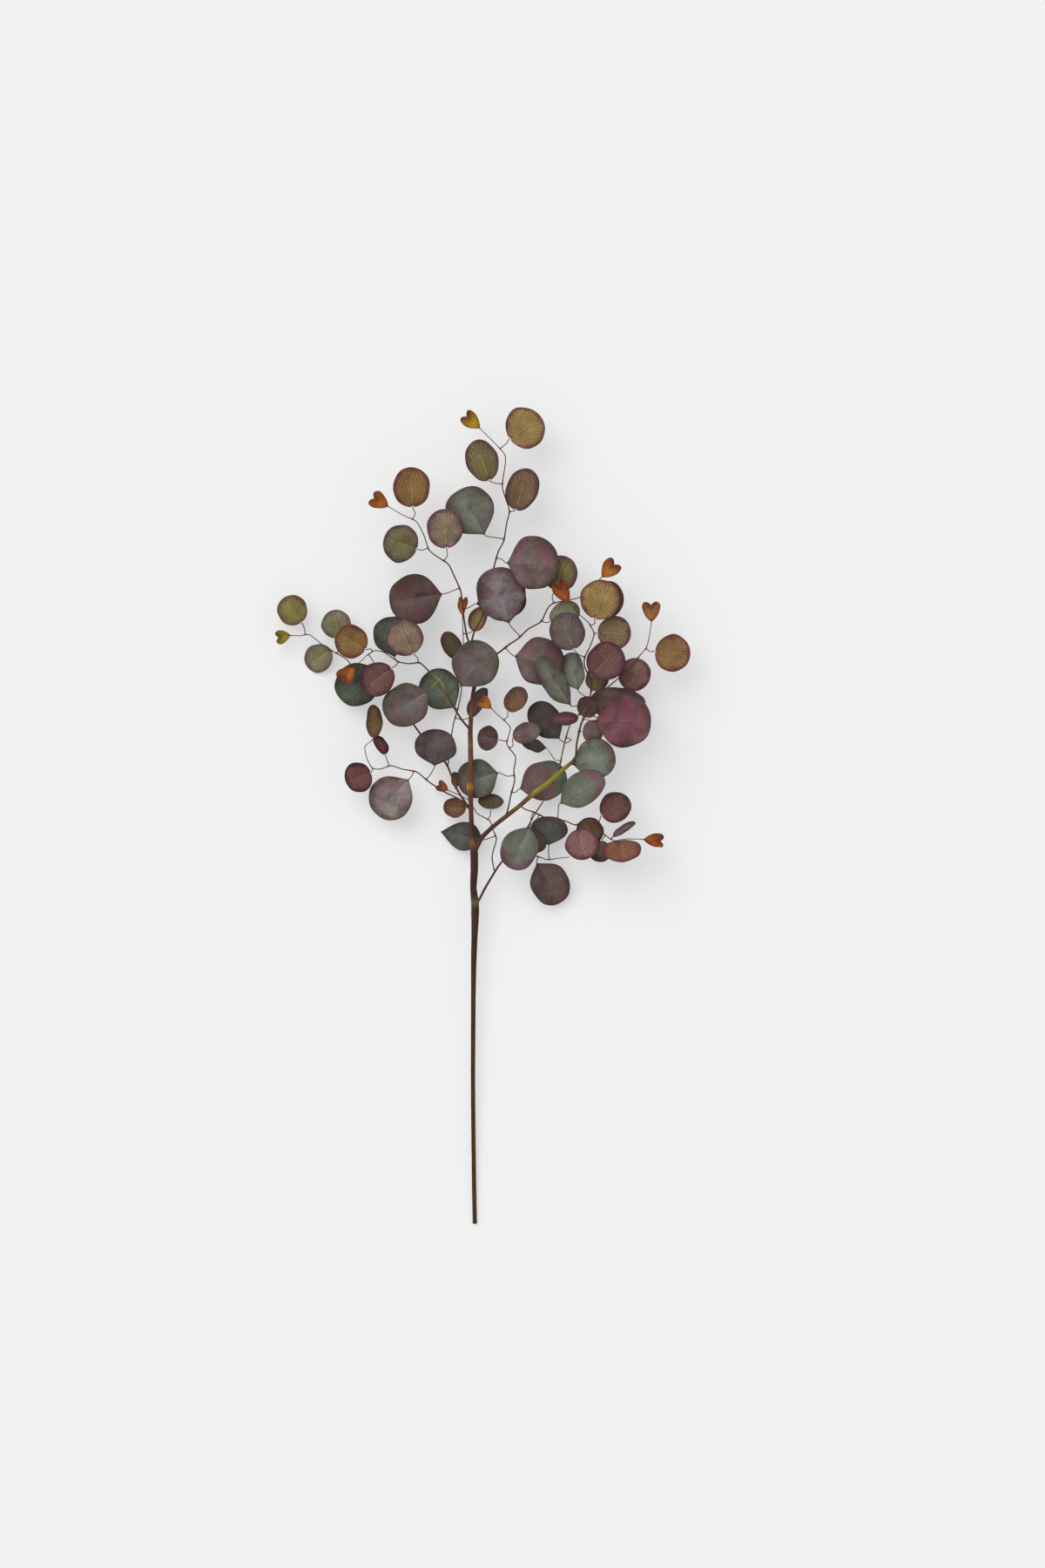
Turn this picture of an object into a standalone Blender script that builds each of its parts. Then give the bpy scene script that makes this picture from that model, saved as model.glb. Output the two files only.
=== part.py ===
"""A cut spray of silver-dollar eucalyptus, lying on its cut end and two of its lower leaves.

The row frame has its origin on the surface, under the middle of the spray. +X runs across
the spray, +Y from the cut end to the crown, and +Z up from the surface.

Places in the tables are millimetres on the plan sheet: across, down the sheet, and up from
the surface. The crown is at the top of the sheet and the cut end is at its bottom.
"""

import math

import bmesh
import bpy
from mathutils import Matrix, Vector

MM = 0.001
SHEET_MIDDLE = (555.0, 938.0)

# Sizes in millimetres.
BLADE_THICKNESS = 0.8
TWIG_SIDES = 5
STEM_SIDES = 10
PETIOLE_SIDES = 4
PETIOLE_RADII = (0.6, 0.5)
SEAT_GAP = 0.3
REST_BLOCK = (1200.0, 1200.0, 40.0)

# Shape of a blade, as shares of its own size.
ROOT_SHARE = 0.14
FOLD = 0.12
DROOP = 0.08
WAVE = {"spade": 0.035, "point": 0.035, "round": 0.02, "heart": 0.03}
WAVES_ALONG = 1.5
ROWS = {"spade": 9, "point": 8, "round": 7, "heart": 7}
SPADE_SHOULDER = 0.14
SPADE_FILL = 1.3
SPADE_BLUNT = 0.85
POINT_TIP = 0.25
ROUND_NOTCH = 0.06
HEART_LOBE = 0.75
HEART_NOTCH = 0.16
GOLDEN_ANGLE = math.radians(137.5)

# The stem: places of its middle line with the radius there.
STEM = [
    ((545.0, 1406.5, 2.4), 2.5),
    ((544.0, 1350.0, 5.4), 2.5),
    ((543.0, 1250.0, 10.4), 2.5),
    ((543.5, 1140.0, 15.9), 2.75),
    ((544.0, 1100.0, 17.9), 3.25),
    ((545.0, 1070.0, 19.4), 3.75),
    ((545.5, 1050.0, 20.4), 4.6),
    ((545.5, 1038.0, 21.0), 4.6),
    ((543.5, 1020.0, 21.9), 3.75),
    ((544.5, 1000.0, 22.9), 4.4),
    ((544.5, 980.0, 23.9), 4.6),
    ((542.0, 960.0, 24.9), 3.2),
    ((541.0, 940.0, 25.9), 2.75),
    ((540.5, 920.0, 26.9), 2.75),
    ((539.5, 905.0, 27.6), 3.9),
    ((540.0, 896.0, 28.1), 3.6),
    ((540.5, 870.0, 29.4), 3.0),
    ((540.0, 840.0, 30.9), 2.8),
    ((541.0, 820.0, 31.9), 2.6),
    ((543.0, 797.0, 33.0), 2.4),
    ((545.0, 785.0, 33.7), 2.3),
    ((543.0, 765.0, 34.7), 2.2),
    ((540.0, 738.0, 36.0), 2.0),
]

# The thick branch to the right, in the same form.
RIGHT_BRANCH = [
    ((544.3, 979.0, 24.0), 2.8),
    ((553.0, 962.0, 25.5), 2.7),
    ((565.0, 950.0, 27.0), 2.5),
    ((580.0, 938.0, 29.0), 2.5),
    ((598.0, 924.0, 33.0), 2.5),
    ((615.0, 909.0, 38.0), 2.9),
    ((628.0, 900.0, 42.0), 2.8),
    ((640.0, 889.0, 46.0), 2.6),
    ((658.0, 874.0, 54.0), 2.0),
]

# A twig is its places, then its first and last radius. A leaf is its kind, the place of its
# base, its heading on the sheet in degrees from +X towards +Y, length, width, pitch and roll
# in degrees, and the places that its petiole passes from the twig to the base.
CROWN_TWIGS = [
    ([(540, 742, 36), (545, 724, 37), (553, 710, 38), (560, 680, 40), (567, 652, 45),
      (573, 632, 60), (578, 623, 59), (582, 600, 54), (585, 588, 52), (577, 560, 50),
      (580, 523, 49), (571, 512, 49), (557, 498, 50), (551, 492, 51)], 1.4, 0.55),
    ([(540, 742, 36), (536, 730, 37), (533, 712, 39), (529, 679, 43), (521, 660, 47),
      (515, 648, 52), (500, 638, 56), (493, 632, 57), (487, 615, 58), (478, 599, 60),
      (463, 592, 61), (446, 582, 62)], 1.4, 0.55),
]
CROWN_LEAVES = [
    ("spade", (557, 615, 54), 121, 63, 56, -12, 0, [(572, 618, 56)]),
    ("spade", (581, 647, 68), 0, 60, 63, 2, 0, [(577, 643, 65)]),
    ("round", (585, 504, 51), 34, 44, 49, 2, 4, [(582, 509, 50)]),
    ("round", (562, 552, 51), 110, 49, 38, 2, 14, [(568, 555, 50)]),
    ("round", (592, 586, 53), 72, 50, 38, 2, 12, []),
    ("heart", (551, 492, 51), 139, 24, 19, 5, 8, []),
    ("spade", (509, 682, 45), 189, 63, 57, -4, 0, [(516, 680, 44)]),
    ("spade", (546, 693, 31), 8, 59, 46, -3, 0, [(537, 698, 36)]),
    ("round", (513, 630, 64), 95, 45, 42, 3, 0, [(514, 638, 60)]),
    ("round", (474, 583, 62), 93, 46, 43, 2, -4, [(477, 590, 61)]),
    ("round", (479, 631, 58), 160, 40, 44, 2, 6, [(485, 632, 58)]),
    ("heart", (446, 582, 62), 150, 22, 20, 4, -8, []),
]

UPPER_RIGHT_TWIGS = [
    ([(543, 768, 34.5), (558, 757, 38), (573, 749, 41), (586, 739, 45), (594, 734, 47),
      (607, 722, 50), (621, 714, 53), (630, 697, 55), (635, 693, 56), (648, 690, 57),
      (666, 686, 58), (676, 678, 60), (687, 667, 62), (692, 662, 63)], 1.5, 0.55),
]
UPPER_RIGHT_LEAVES = [
    ("spade", (585, 717, 55), 106, 67, 57, 1, 0, [(591, 724, 51)]),
    ("spade", (590, 753, 47), -12, 58, 56, 3, 0, [(584, 748, 45)]),
    ("round", (637, 678, 57), 72, 41, 40, 2, 0, [(634, 685, 57)]),
    ("round", (632, 714, 55), 27, 37, 30, 0, -10, [(626, 715, 54)]),
    ("round", (672, 688, 54), 0, 45, 44, -6, 0, []),
    ("heart", (691, 663, 63), 46, 24, 21, 4, 6, []),
]

LEFT_TWIGS = [
    ([(540, 838, 31), (530, 826, 35), (516, 803, 40), (506, 782, 44), (493, 771, 47),
      (482, 761, 49), (470, 762, 50), (458, 760, 51), (441, 749, 52), (431, 747, 53),
      (421, 753, 53), (414, 760, 53), (407, 766, 53)], 1.6, 0.55),
]
LEFT_LEAVES = [
    ("spade", (528, 789, 54), 56, 59, 54, 2, 0, [(518, 795, 46), (525, 788, 52)]),
    ("spade", (493, 793, 50), 211, 59, 50, -4, 0, [(500, 785, 47)]),
    ("round", (475, 751, 55), 118, 42, 42, 2, 0, [(480, 756, 52)]),
    ("round", (450, 767, 52), 218, 42, 38, -2, 0, [(455, 764, 51)]),
    ("spade", (453, 755, 45), 95, 53, 46, -22, 0, [(457, 760, 49)]),
    ("round", (420, 746, 56), 150, 38, 39, 2, 8, [(426, 745, 54)]),
    ("spade", (432.5, 766, 40), 220, 60, 49, -18, 0, [(427, 757, 46)]),
    ("heart", (407, 766, 54), 225, 22, 20, 2, 0, []),
]

LOW_LEFT_TWIGS = [
    ([(541.5, 932, 26.3), (532, 918, 24), (524, 905, 22), (514, 880, 19), (506, 868, 18),
      (483, 843, 16), (452, 800, 14), (425, 775, 13), (405, 766, 14), (398, 757, 15),
      (383, 748, 16), (370, 740, 18), (354, 728, 20), (344, 729.5, 21),
      (333, 729, 22)], 1.7, 0.55),
    ([(514, 880, 19), (518, 846, 18), (521, 829, 18), (526, 812, 18), (530, 790, 20),
      (532, 742, 25), (531, 706, 30)], 1.0, 0.55),
    ([(541, 930, 26.4), (528, 918, 29), (512, 910, 31), (493, 898, 34), (478, 886, 35),
      (462, 883, 36), (449, 879, 36), (436, 883, 36), (428, 882, 36), (421, 870, 36),
      (419, 857, 36), (427, 850, 36)], 1.2, 0.55),
]
LOW_LEFT_LEAVES = [
    ("round", (346, 714, 23), 128, 35, 35, 2, 0, [(349, 721, 22)]),
    ("heart", (333, 729, 22), 190, 17, 16, 0, 0, []),
    ("round", (390, 732, 20), 105, 33, 34, 3, 0, [(391, 741, 18)]),
    ("round", (379, 745, 15.5), 216, 38, 32, -23, 0, []),
    ("spade", (523, 813, 17), 130, 54, 46, -8, 0, []),
    ("round", (540, 823, 15), 65, 38, 28, 0, 52, [(530, 826, 16)]),
    ("round", (543, 724, 24), 68, 30, 22, 0, 20, [(537, 727, 25)]),
    ("round", (525, 756, 22), 113, 34, 23, 0, -18, []),
    ("heart", (531, 706, 30), 90, 21, 17, 0, 48, []),
    ("round", (523.5, 903, 10), 92, 17, 14, 0, -36, []),
    ("round", (535, 928, 19), 176, 27, 23, -10, 0, []),
    ("spade", (499, 880, 38), 87, 43, 48, 2, 0, [(495, 888, 36)]),
    ("spade", (470, 894, 35), 226, 57, 51, -8, 0, [(474, 889, 35)]),
    ("round", (426, 887, 36), 200, 31, 36, 2, 6, []),
    ("round", (429, 847, 37), 88, 38, 24, 2, -40, []),
    ("round", (442, 866, 35), 112, 25, 18, -14, -40, [(445, 874, 35)]),
]

INNER_RIGHT_TWIGS = [
    ([(641, 889, 46.5), (643, 878, 49), (645, 868, 50), (649, 850, 51), (656, 829, 53),
      (663, 822, 54), (673, 808, 56), (676, 800, 57)], 1.3, 0.55),
]
INNER_RIGHT_LEAVES = [
    ("spade", (656, 811, 68), 126, 67, 37, 0, 40, [(668, 809, 61)]),
    ("spade", (664, 793, 44), 106, 45, 33, -2, 28, [(671, 799, 51)]),
    ("round", (667, 821, 44), 50, 25, 25, -4, 0, []),
    ("round", (664, 824, 49), 184, 29, 18, 0, 30, []),
    ("spade", (643, 849, 36), 127, 52, 36, -4, 0, [(656, 849, 45), (650, 853, 39)]),
    ("spade", (628, 859, 27), 166, 30, 27, 0, 58, [(637, 872, 38)]),
]

OUTER_RIGHT_TWIGS = [
    ([(657, 875, 53.5), (661, 868, 56), (662, 855, 58), (667, 832, 61), (674, 815, 63),
      (677, 803, 64), (679, 783, 66), (671, 765, 66), (671, 756, 66), (678, 741, 66),
      (682, 728, 66), (676, 716, 68), (664, 705, 72), (653, 692, 76)], 1.6, 0.55),
    ([(677, 803, 64), (690, 795, 61), (705, 783, 56), (722, 768, 52), (736, 751, 50),
      (742, 744, 50), (745, 733, 51), (748, 714, 53)], 1.1, 0.55),
]
OUTER_RIGHT_LEAVES = [
    ("heart", (653, 692, 76), 122, 27, 21, 4, 26, []),
    ("round", (659, 746, 76), 111, 44, 41, 2, 0, [(663, 751, 71)]),
    ("round", (682, 711, 76), 72, 46, 46, 1, 0, [(683, 716, 72)]),
    ("round", (686, 727, 64), 0, 39, 39, -6, 0, []),
    ("round", (680, 776, 80), 47, 45, 44, 2, 0, [(681, 780, 73)]),
    ("round", (734, 756, 48), 254, 39, 37, -8, 0, []),
    ("round", (752, 748, 52), -6, 41, 43, -3, 0, [(746, 748, 51)]),
    ("heart", (748, 714, 53), 92, 23, 21, 3, 0, []),
    ("round", (681, 793, 55), 72, 28, 27, -5, 0, []),
    ("spade", (707, 833, 46.1), 84, 64, 64, -42, 0, [(690, 826, 55), (702, 833, 49)]),
    ("spade", (682, 828, 78), 0, 65, 62, 2, 0, [(675, 827, 70)]),
    ("spade", (657, 878, 47), 14, 51, 47, -3, 0, [(661, 873, 51)]),
    ("round", (669, 839, 40), -5, 24, 28, -4, 0, [(667, 840, 50)]),
]

MIDDLE_TWIGS = [
    ([(580, 938, 29), (583, 930, 27.5), (587, 911, 24), (591, 896, 24.5), (590, 885, 27),
      (592, 869, 32), (582, 854, 38), (586, 835, 42), (580, 828, 44), (570, 819, 46),
      (564, 813, 48)], 1.2, 0.55),
]
MIDDLE_LEAVES = [
    ("spade", (596, 906, 23), 19, 57, 46, 7, 0, [(591, 910, 23.5)]),
    ("spade", (573, 887, 18), 195, 49, 46, -1, 0, [(582, 891, 21)]),
    ("round", (589, 847, 48), 20, 33, 24, 2, 12, [(589, 856, 41)]),
    ("round", (572, 849, 37), 172, 24, 29, 0, 10, []),
    ("round", (583, 816, 45), 55, 32, 25, 2, 8, [(583, 822, 44)]),
    ("heart", (564, 813, 48), 140, 18, 15, 4, 0, []),
]

LOW_RIGHT_TWIGS = [
    ([(597, 925, 32.8), (603, 929, 35), (612, 932, 37), (625, 938, 41), (632, 941, 43),
      (648, 942, 45), (661, 947, 46), (668, 944, 47), (687, 945, 49), (694, 958, 49),
      (705, 965, 49), (720, 963, 49), (739, 963.5, 50)], 1.1, 0.55),
]
LOW_RIGHT_LEAVES = [
    ("spade", (609, 948, 50), 245, 54, 43, 0, 0, [(610, 938, 45)]),
    ("spade", (609, 953, 34), -62, 28, 23, -5, 0, [(615, 944, 36)]),
    ("spade", (642, 923, 56), 33, 60, 38, 3, 0, [(641, 932, 50)]),
    ("round", (665, 951.5, 54), -80, 36, 38, 1, 0, [(663, 948, 49)]),
    ("round", (667, 942, 39), -50, 32, 32, -3, 0, [(667, 944.5, 44)]),
    ("round", (691, 965, 37), -98, 25, 27, -3, 0, []),
    ("round", (690.5, 936, 52), 30, 37, 35, 2, 6, [(689, 940, 50)]),
    ("round", (713, 964.5, 52), -85, 29, 44, 35, 0, []),
    ("round", (704, 960, 53), 36, 30, 18, 4, 62, []),
    ("heart", (739, 963.5, 50), -4, 23, 18, 2, 26, []),
]

LOWEST_TWIGS = [
    ([(545.5, 1042, 20.9), (558, 1018, 22), (572, 995, 23), (578, 987, 23.5), (592, 967, 24),
      (607, 948, 23), (612, 938, 21.5), (624, 920, 17)], 1.9, 0.9),
    ([(578, 987, 23.5), (600, 984, 25), (616, 983, 26), (629, 987, 27), (640, 985.5, 28),
      (654, 984, 30)], 1.0, 0.55),
    ([(568, 1002, 22.7), (565, 985, 19), (566, 978, 17.5), (570, 963, 14.5), (565, 950, 12.5),
      (563, 943, 12), (548, 934, 11), (538, 919, 10.5), (521, 910, 11),
      (514, 907, 12)], 1.0, 0.55),
]
LOWEST_LEAVES = [
    ("spade", (630, 971, 27), 90, 34, 44, -3, 0, [(630, 980, 27)]),
    ("spade", (616, 990, 25), -58, 56, 45, -10, 0, []),
    ("point", (556, 964, 12), 170, 52, 38, -2, 0, [(563, 962, 13)]),
    ("round", (563, 929, 12), 88, 18, 29, -3, 0, [(563, 936, 12)]),
    ("heart", (514, 907, 12), 150, 14, 13, 0, 0, []),
]

# Name, tables, what carries it, and the leaf colour that most of it has.
SPRAYS = [
    ("crown_spray", CROWN_TWIGS, CROWN_LEAVES, "stem", (0.20, 0.15, 0.13)),
    ("upper_right_spray", UPPER_RIGHT_TWIGS, UPPER_RIGHT_LEAVES, "stem", (0.17, 0.12, 0.14)),
    ("left_spray", LEFT_TWIGS, LEFT_LEAVES, "stem", (0.17, 0.14, 0.13)),
    ("low_left_spray", LOW_LEFT_TWIGS, LOW_LEFT_LEAVES, "stem", (0.12, 0.13, 0.09)),
    ("inner_right_spray", INNER_RIGHT_TWIGS, INNER_RIGHT_LEAVES, "branch", (0.10, 0.12, 0.10)),
    ("outer_right_spray", OUTER_RIGHT_TWIGS, OUTER_RIGHT_LEAVES, "branch", (0.20, 0.11, 0.12)),
    ("middle_spray", MIDDLE_TWIGS, MIDDLE_LEAVES, "branch", (0.12, 0.10, 0.10)),
    ("low_right_spray", LOW_RIGHT_TWIGS, LOW_RIGHT_LEAVES, "branch", (0.19, 0.09, 0.09)),
    ("lowest_spray", LOWEST_TWIGS, LOWEST_LEAVES, "stem", (0.13, 0.10, 0.10)),
]
STEM_BROWN = (0.10, 0.05, 0.025)
BRANCH_OLIVE = (0.16, 0.12, 0.03)


def place(spot):
    """The point of the row frame, in metres, for a place on the plan sheet."""
    across, down, up = spot
    return Vector((across - SHEET_MIDDLE[0], SHEET_MIDDLE[1] - down, up)) * MM


def clear_scene():
    for thing in list(bpy.data.objects):
        bpy.data.objects.remove(thing)


def paint(thing, colour, roughness):
    finish = bpy.data.materials.new(thing.name + "_finish")
    finish.use_nodes = True
    shader = finish.node_tree.nodes["Principled BSDF"]
    shader.inputs["Base Color"].default_value = (*colour, 1.0)
    shader.inputs["Roughness"].default_value = roughness
    shader.inputs["Metallic"].default_value = 0.0
    thing.data.materials.clear()
    thing.data.materials.append(finish)


def object_from(bm, name, collection=None):
    """A new object that holds the mesh, with its faces pointing outwards."""
    bmesh.ops.recalc_face_normals(bm, faces=bm.faces[:])
    mesh = bpy.data.meshes.new(name)
    bm.to_mesh(mesh)
    bm.free()
    thing = bpy.data.objects.new(name, mesh)
    (collection or bpy.context.scene.collection).objects.link(thing)
    return thing


def loop_edges(ring):
    verts = set(ring)
    return {e for v in ring for e in v.link_edges if e.other_vert(v) in verts}


def sweep(points, radii, sides):
    """A closed round tube along points in metres, with a radius in millimetres at each."""
    bm = bmesh.new()
    last = len(points) - 1
    rings = []
    for i, (point, radius) in enumerate(zip(points, radii)):
        along = (points[min(i + 1, last)] - points[max(i - 1, 0)]).normalized()
        across = Vector((0.0, 0.0, 1.0)).cross(along).normalized()
        turn = Matrix((across, along.cross(across), along)).transposed().to_4x4()
        ring = bmesh.ops.create_circle(
            bm, cap_ends=i in (0, last), segments=sides, radius=radius * MM,
            matrix=Matrix.Translation(point) @ turn)
        rings.append(ring["verts"])
    for near, far in zip(rings, rings[1:]):
        bmesh.ops.bridge_loops(bm, edges=list(loop_edges(near) | loop_edges(far)))
    return bm


def even_radii(points, first, last):
    """Radii that fall evenly with the distance along the points."""
    walked = [0.0]
    for a, b in zip(points, points[1:]):
        walked.append(walked[-1] + (b - a).length)
    return [first + (last - first) * w / walked[-1] for w in walked]


def outline(kind, s):
    """Half width, reach of the rim and reach of the midrib, as shares, at s from base to tip."""
    even = (1.0 - math.cos(math.pi * s)) / 2.0
    half = max(math.sin(math.pi * s), 0.0)
    if kind == "spade":
        fill = 1.0 - math.exp(-(even / SPADE_SHOULDER) ** SPADE_FILL)
        return half ** (SPADE_BLUNT if s > 0.5 else 1.0) * fill, even, even
    if kind == "point":
        fill = 1.0 - math.exp(-(even / SPADE_SHOULDER) ** SPADE_FILL)
        tip = 1.0 - math.exp(-(1.0 - even) / POINT_TIP)
        return half * fill * tip, even, even
    if kind == "round":
        rib = ROUND_NOTCH + (1.0 - ROUND_NOTCH) * even
        return half, (even if s > 0.0 else rib), rib
    past = max(s - HEART_LOBE, 0.0) / (1.0 - HEART_LOBE)
    rim = math.sin(math.pi / 2.0 * min(s / HEART_LOBE, 1.0)) - HEART_NOTCH * past * past
    half = max(math.sin(math.pi * s ** HEART_LOBE), 0.0)
    return half, rim, (1.0 - HEART_NOTCH) * s


def blade_point(kind, u, s, length, width, phase):
    """A point of the blade's upper face in its own axes, in millimetres, for u across it."""
    half, rim, rib = outline(kind, s)
    x = u * half * width / 2.0
    y = (rib + abs(u) * (rim - rib)) * length
    wave = WAVE[kind] * width * u * u * half
    z = FOLD * abs(x) - DROOP * y * y / length
    z += wave * math.sin(2.0 * math.pi * WAVES_ALONG * s + phase + (u > 0.0))
    return Vector((x, y, z))


def leaf_axes(base, heading, pitch, roll):
    """The matrix from a blade's own axes, in millimetres, to the row frame."""
    heading, pitch, roll = (math.radians(a) for a in (heading, pitch, roll))
    forward = Vector((math.cos(heading) * math.cos(pitch),
                      math.sin(heading) * math.cos(pitch), math.sin(pitch)))
    level = Vector((math.sin(heading), -math.cos(heading), 0.0))
    side = level * math.cos(roll) + level.cross(forward) * math.sin(roll)
    turn = Matrix((side, forward, side.cross(forward))).transposed().to_4x4()
    return Matrix.Translation(place(base)) @ turn @ Matrix.Scale(MM, 4)


def blade(kind, length, width, phase, axes):
    """A leaf blade as a closed sheet, with the same triangles on both of its faces."""
    bm = bmesh.new()
    bmesh.ops.create_grid(bm, x_segments=2, y_segments=ROWS[kind], size=1.0)
    for vert in bm.verts:
        u, s = vert.co.x, (vert.co.y + 1.0) / 2.0
        vert.co = blade_point(kind, u, s, length, width, phase)
    bmesh.ops.remove_doubles(bm, verts=bm.verts[:], dist=MM)
    bmesh.ops.triangulate(bm, faces=bm.faces[:])
    lower = bmesh.ops.extrude_face_region(bm, geom=bm.faces[:])
    lower_verts = [v for v in lower["geom"] if isinstance(v, bmesh.types.BMVert)]
    bmesh.ops.translate(bm, verts=lower_verts, vec=(0.0, 0.0, -BLADE_THICKNESS))
    bmesh.ops.transform(bm, matrix=axes, verts=bm.verts[:])
    return bm


def nearest_on(twigs, spot):
    """The place on the twigs' middle lines that is nearest to a spot, seen from above."""
    best = None
    for points, _, _ in twigs:
        for a, b in zip(points, points[1:]):
            a, b = Vector(a), Vector(b)
            run = (b - a).to_2d()
            share = (Vector(spot).to_2d() - a.to_2d()).dot(run) / run.length_squared
            found = a.lerp(b, min(max(share, 0.0), 1.0))
            away = (found.to_2d() - Vector(spot).to_2d()).length
            if best is None or away < best[0]:
                best = (away, found)
    return best[1]


def petiole(kind, base, length, width, phase, axes, twigs, via):
    """The leaf's stalk, from its twig to a little way into the blade."""
    start = nearest_on(twigs, via[0] if via else base)
    inside = blade_point(kind, 0.0, 0.0, length, width, phase)
    inside.y += ROOT_SHARE * length
    inside.z -= BLADE_THICKNESS / 2.0
    points = [place(start)] + [place(p) for p in via] + [place(base), axes @ inside]
    points = [p for i, p in enumerate(points) if i == 0 or (p - points[i - 1]).length > MM]
    return sweep(points, even_radii(points, *PETIOLE_RADII), PETIOLE_SIDES)


def cut_with(thing, cutter, name):
    cut = thing.modifiers.new(name, "BOOLEAN")
    cut.operation = "DIFFERENCE"
    cut.solver = "EXACT"
    cut.object = cutter


def settle(thing, helpers):
    """Applies the object's modifiers and removes the objects that they used."""
    depsgraph = bpy.context.evaluated_depsgraph_get()
    mesh = bpy.data.meshes.new_from_object(thing.evaluated_get(depsgraph))
    thing.modifiers.clear()
    thing.data = mesh
    for helper in helpers:
        bpy.data.objects.remove(helper)


def rest_block():
    """A cutter whose top is the surface, so that what rests has a small flat spot."""
    bm = bmesh.new()
    bmesh.ops.create_cube(bm, size=1.0)
    bmesh.ops.scale(bm, vec=Vector(REST_BLOCK) * MM, verts=bm.verts[:])
    bmesh.ops.translate(bm, vec=(0.0, 0.0, -REST_BLOCK[2] * MM / 2.0), verts=bm.verts[:])
    block = object_from(bm, "rest_block")
    block.hide_render = True
    block.display_type = "WIRE"
    return block


def seat_cutter(line, name):
    """A tube a seat gap fatter and longer than the wood that carries a spray."""
    grown = SEAT_GAP / math.cos(math.pi / STEM_SIDES)
    points = [place(p) for p, _ in line]
    points[0] += (points[0] - points[1]).normalized() * SEAT_GAP * MM
    points[-1] += (points[-1] - points[-2]).normalized() * SEAT_GAP * MM
    cutter = object_from(sweep(points, [r + grown for _, r in line], STEM_SIDES), name)
    cutter.hide_render = True
    cutter.display_type = "WIRE"
    return cutter


def wood(line, name, colour):
    tube = sweep([place(p) for p, _ in line], [r for _, r in line], STEM_SIDES)
    thing = object_from(tube, name)
    paint(thing, colour, 0.75)
    return thing


def spray(name, twigs, leaves, cutters, colour):
    """One leafy spray: its twigs, petioles and blades joined into one body."""
    parts = bpy.data.collections.new(name + "_parts")
    bpy.context.scene.collection.children.link(parts)
    lines = [([place(p) for p in points], first, last) for points, first, last in twigs]
    tubes = [sweep(line, even_radii(line, first, last), TWIG_SIDES)
             for line, first, last in lines]
    thing = object_from(tubes[0], name)
    for i, tube in enumerate(tubes[1:]):
        object_from(tube, f"{name}_twig_{i}", parts)
    for i, (kind, base, heading, length, width, pitch, roll, via) in enumerate(leaves):
        phase = i * GOLDEN_ANGLE
        axes = leaf_axes(base, heading, pitch, roll)
        stalk = petiole(kind, base, length, width, phase, axes, twigs, via)
        object_from(stalk, f"{name}_petiole_{i}", parts)
        object_from(blade(kind, length, width, phase, axes), f"{name}_blade_{i}", parts)
    join = thing.modifiers.new("join", "BOOLEAN")
    join.operation = "UNION"
    join.solver = "EXACT"
    join.operand_type = "COLLECTION"
    join.collection = parts
    for cutter in cutters:
        cut_with(thing, cutter, "seat")
    settle(thing, list(parts.objects))
    bpy.data.collections.remove(parts)
    paint(thing, colour, 0.5)
    return thing


def main():
    clear_scene()
    surface = rest_block()
    stem = wood(STEM, "main_stem", STEM_BROWN)
    cut_with(stem, surface, "rest")
    settle(stem, [])
    seats = {"stem": seat_cutter(STEM, "stem_seat"),
             "branch": seat_cutter(RIGHT_BRANCH, "branch_seat")}
    branch = wood(RIGHT_BRANCH, "right_branch", BRANCH_OLIVE)
    cut_with(branch, seats["stem"], "seat")
    settle(branch, [])
    for name, twigs, leaves, carrier, colour in SPRAYS:
        spray(name, twigs, leaves, [seats[carrier], surface], colour)


main()
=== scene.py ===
"""The looks of a cut spray of silver-dollar eucalyptus that lies on a pale surface.

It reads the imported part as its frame. Finer leaves, twigs and wood stand for the nodes of
the part, in the same places. The tables and the named values are in millimetres, and the
lengths among the settings are in metres.
"""

import math
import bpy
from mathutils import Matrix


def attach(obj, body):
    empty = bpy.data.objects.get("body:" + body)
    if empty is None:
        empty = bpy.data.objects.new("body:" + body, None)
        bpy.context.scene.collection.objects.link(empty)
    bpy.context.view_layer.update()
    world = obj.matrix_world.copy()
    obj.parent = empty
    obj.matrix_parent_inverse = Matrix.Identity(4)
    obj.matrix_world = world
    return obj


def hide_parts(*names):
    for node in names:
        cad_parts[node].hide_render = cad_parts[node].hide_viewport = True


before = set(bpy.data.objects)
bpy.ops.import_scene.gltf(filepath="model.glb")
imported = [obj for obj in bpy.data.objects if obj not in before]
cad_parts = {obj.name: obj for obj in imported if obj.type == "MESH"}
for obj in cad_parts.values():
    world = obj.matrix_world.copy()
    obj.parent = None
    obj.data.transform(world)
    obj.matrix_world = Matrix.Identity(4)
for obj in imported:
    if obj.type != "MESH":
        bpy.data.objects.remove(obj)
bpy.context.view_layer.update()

from types import SimpleNamespace

import bmesh
import bpy
from mathutils import Matrix, Vector, noise

bl_info = {
    "name": "Eucalyptus Spray",
    "version": (1, 0, 0),
    "blender": (4, 5, 0),
    "location": "View3D > Sidebar > Eucalyptus",
    "description": "Builds the leaves, twigs and wood of a cut eucalyptus spray",
    "category": "Object",
}

MM = 0.001

# The place on the plan sheet, across and down, that is the origin of the row frame.
SHEET_MIDDLE = (555.0, 938.0)

# Shape of a blade, as shares of its own size. The part's solids have the same.
FOLD = 0.12
DROOP = 0.08
WAVE = {"spade": 0.035, "point": 0.035, "round": 0.02, "heart": 0.03}
WAVES_ALONG = 1.5
SPADE_SHOULDER = 0.14
SPADE_FILL = 1.3
SPADE_BLUNT = 0.85
POINT_TIP = 0.25
ROUND_NOTCH = 0.06
HEART_LOBE = 0.75
HEART_NOTCH = 0.16

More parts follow.
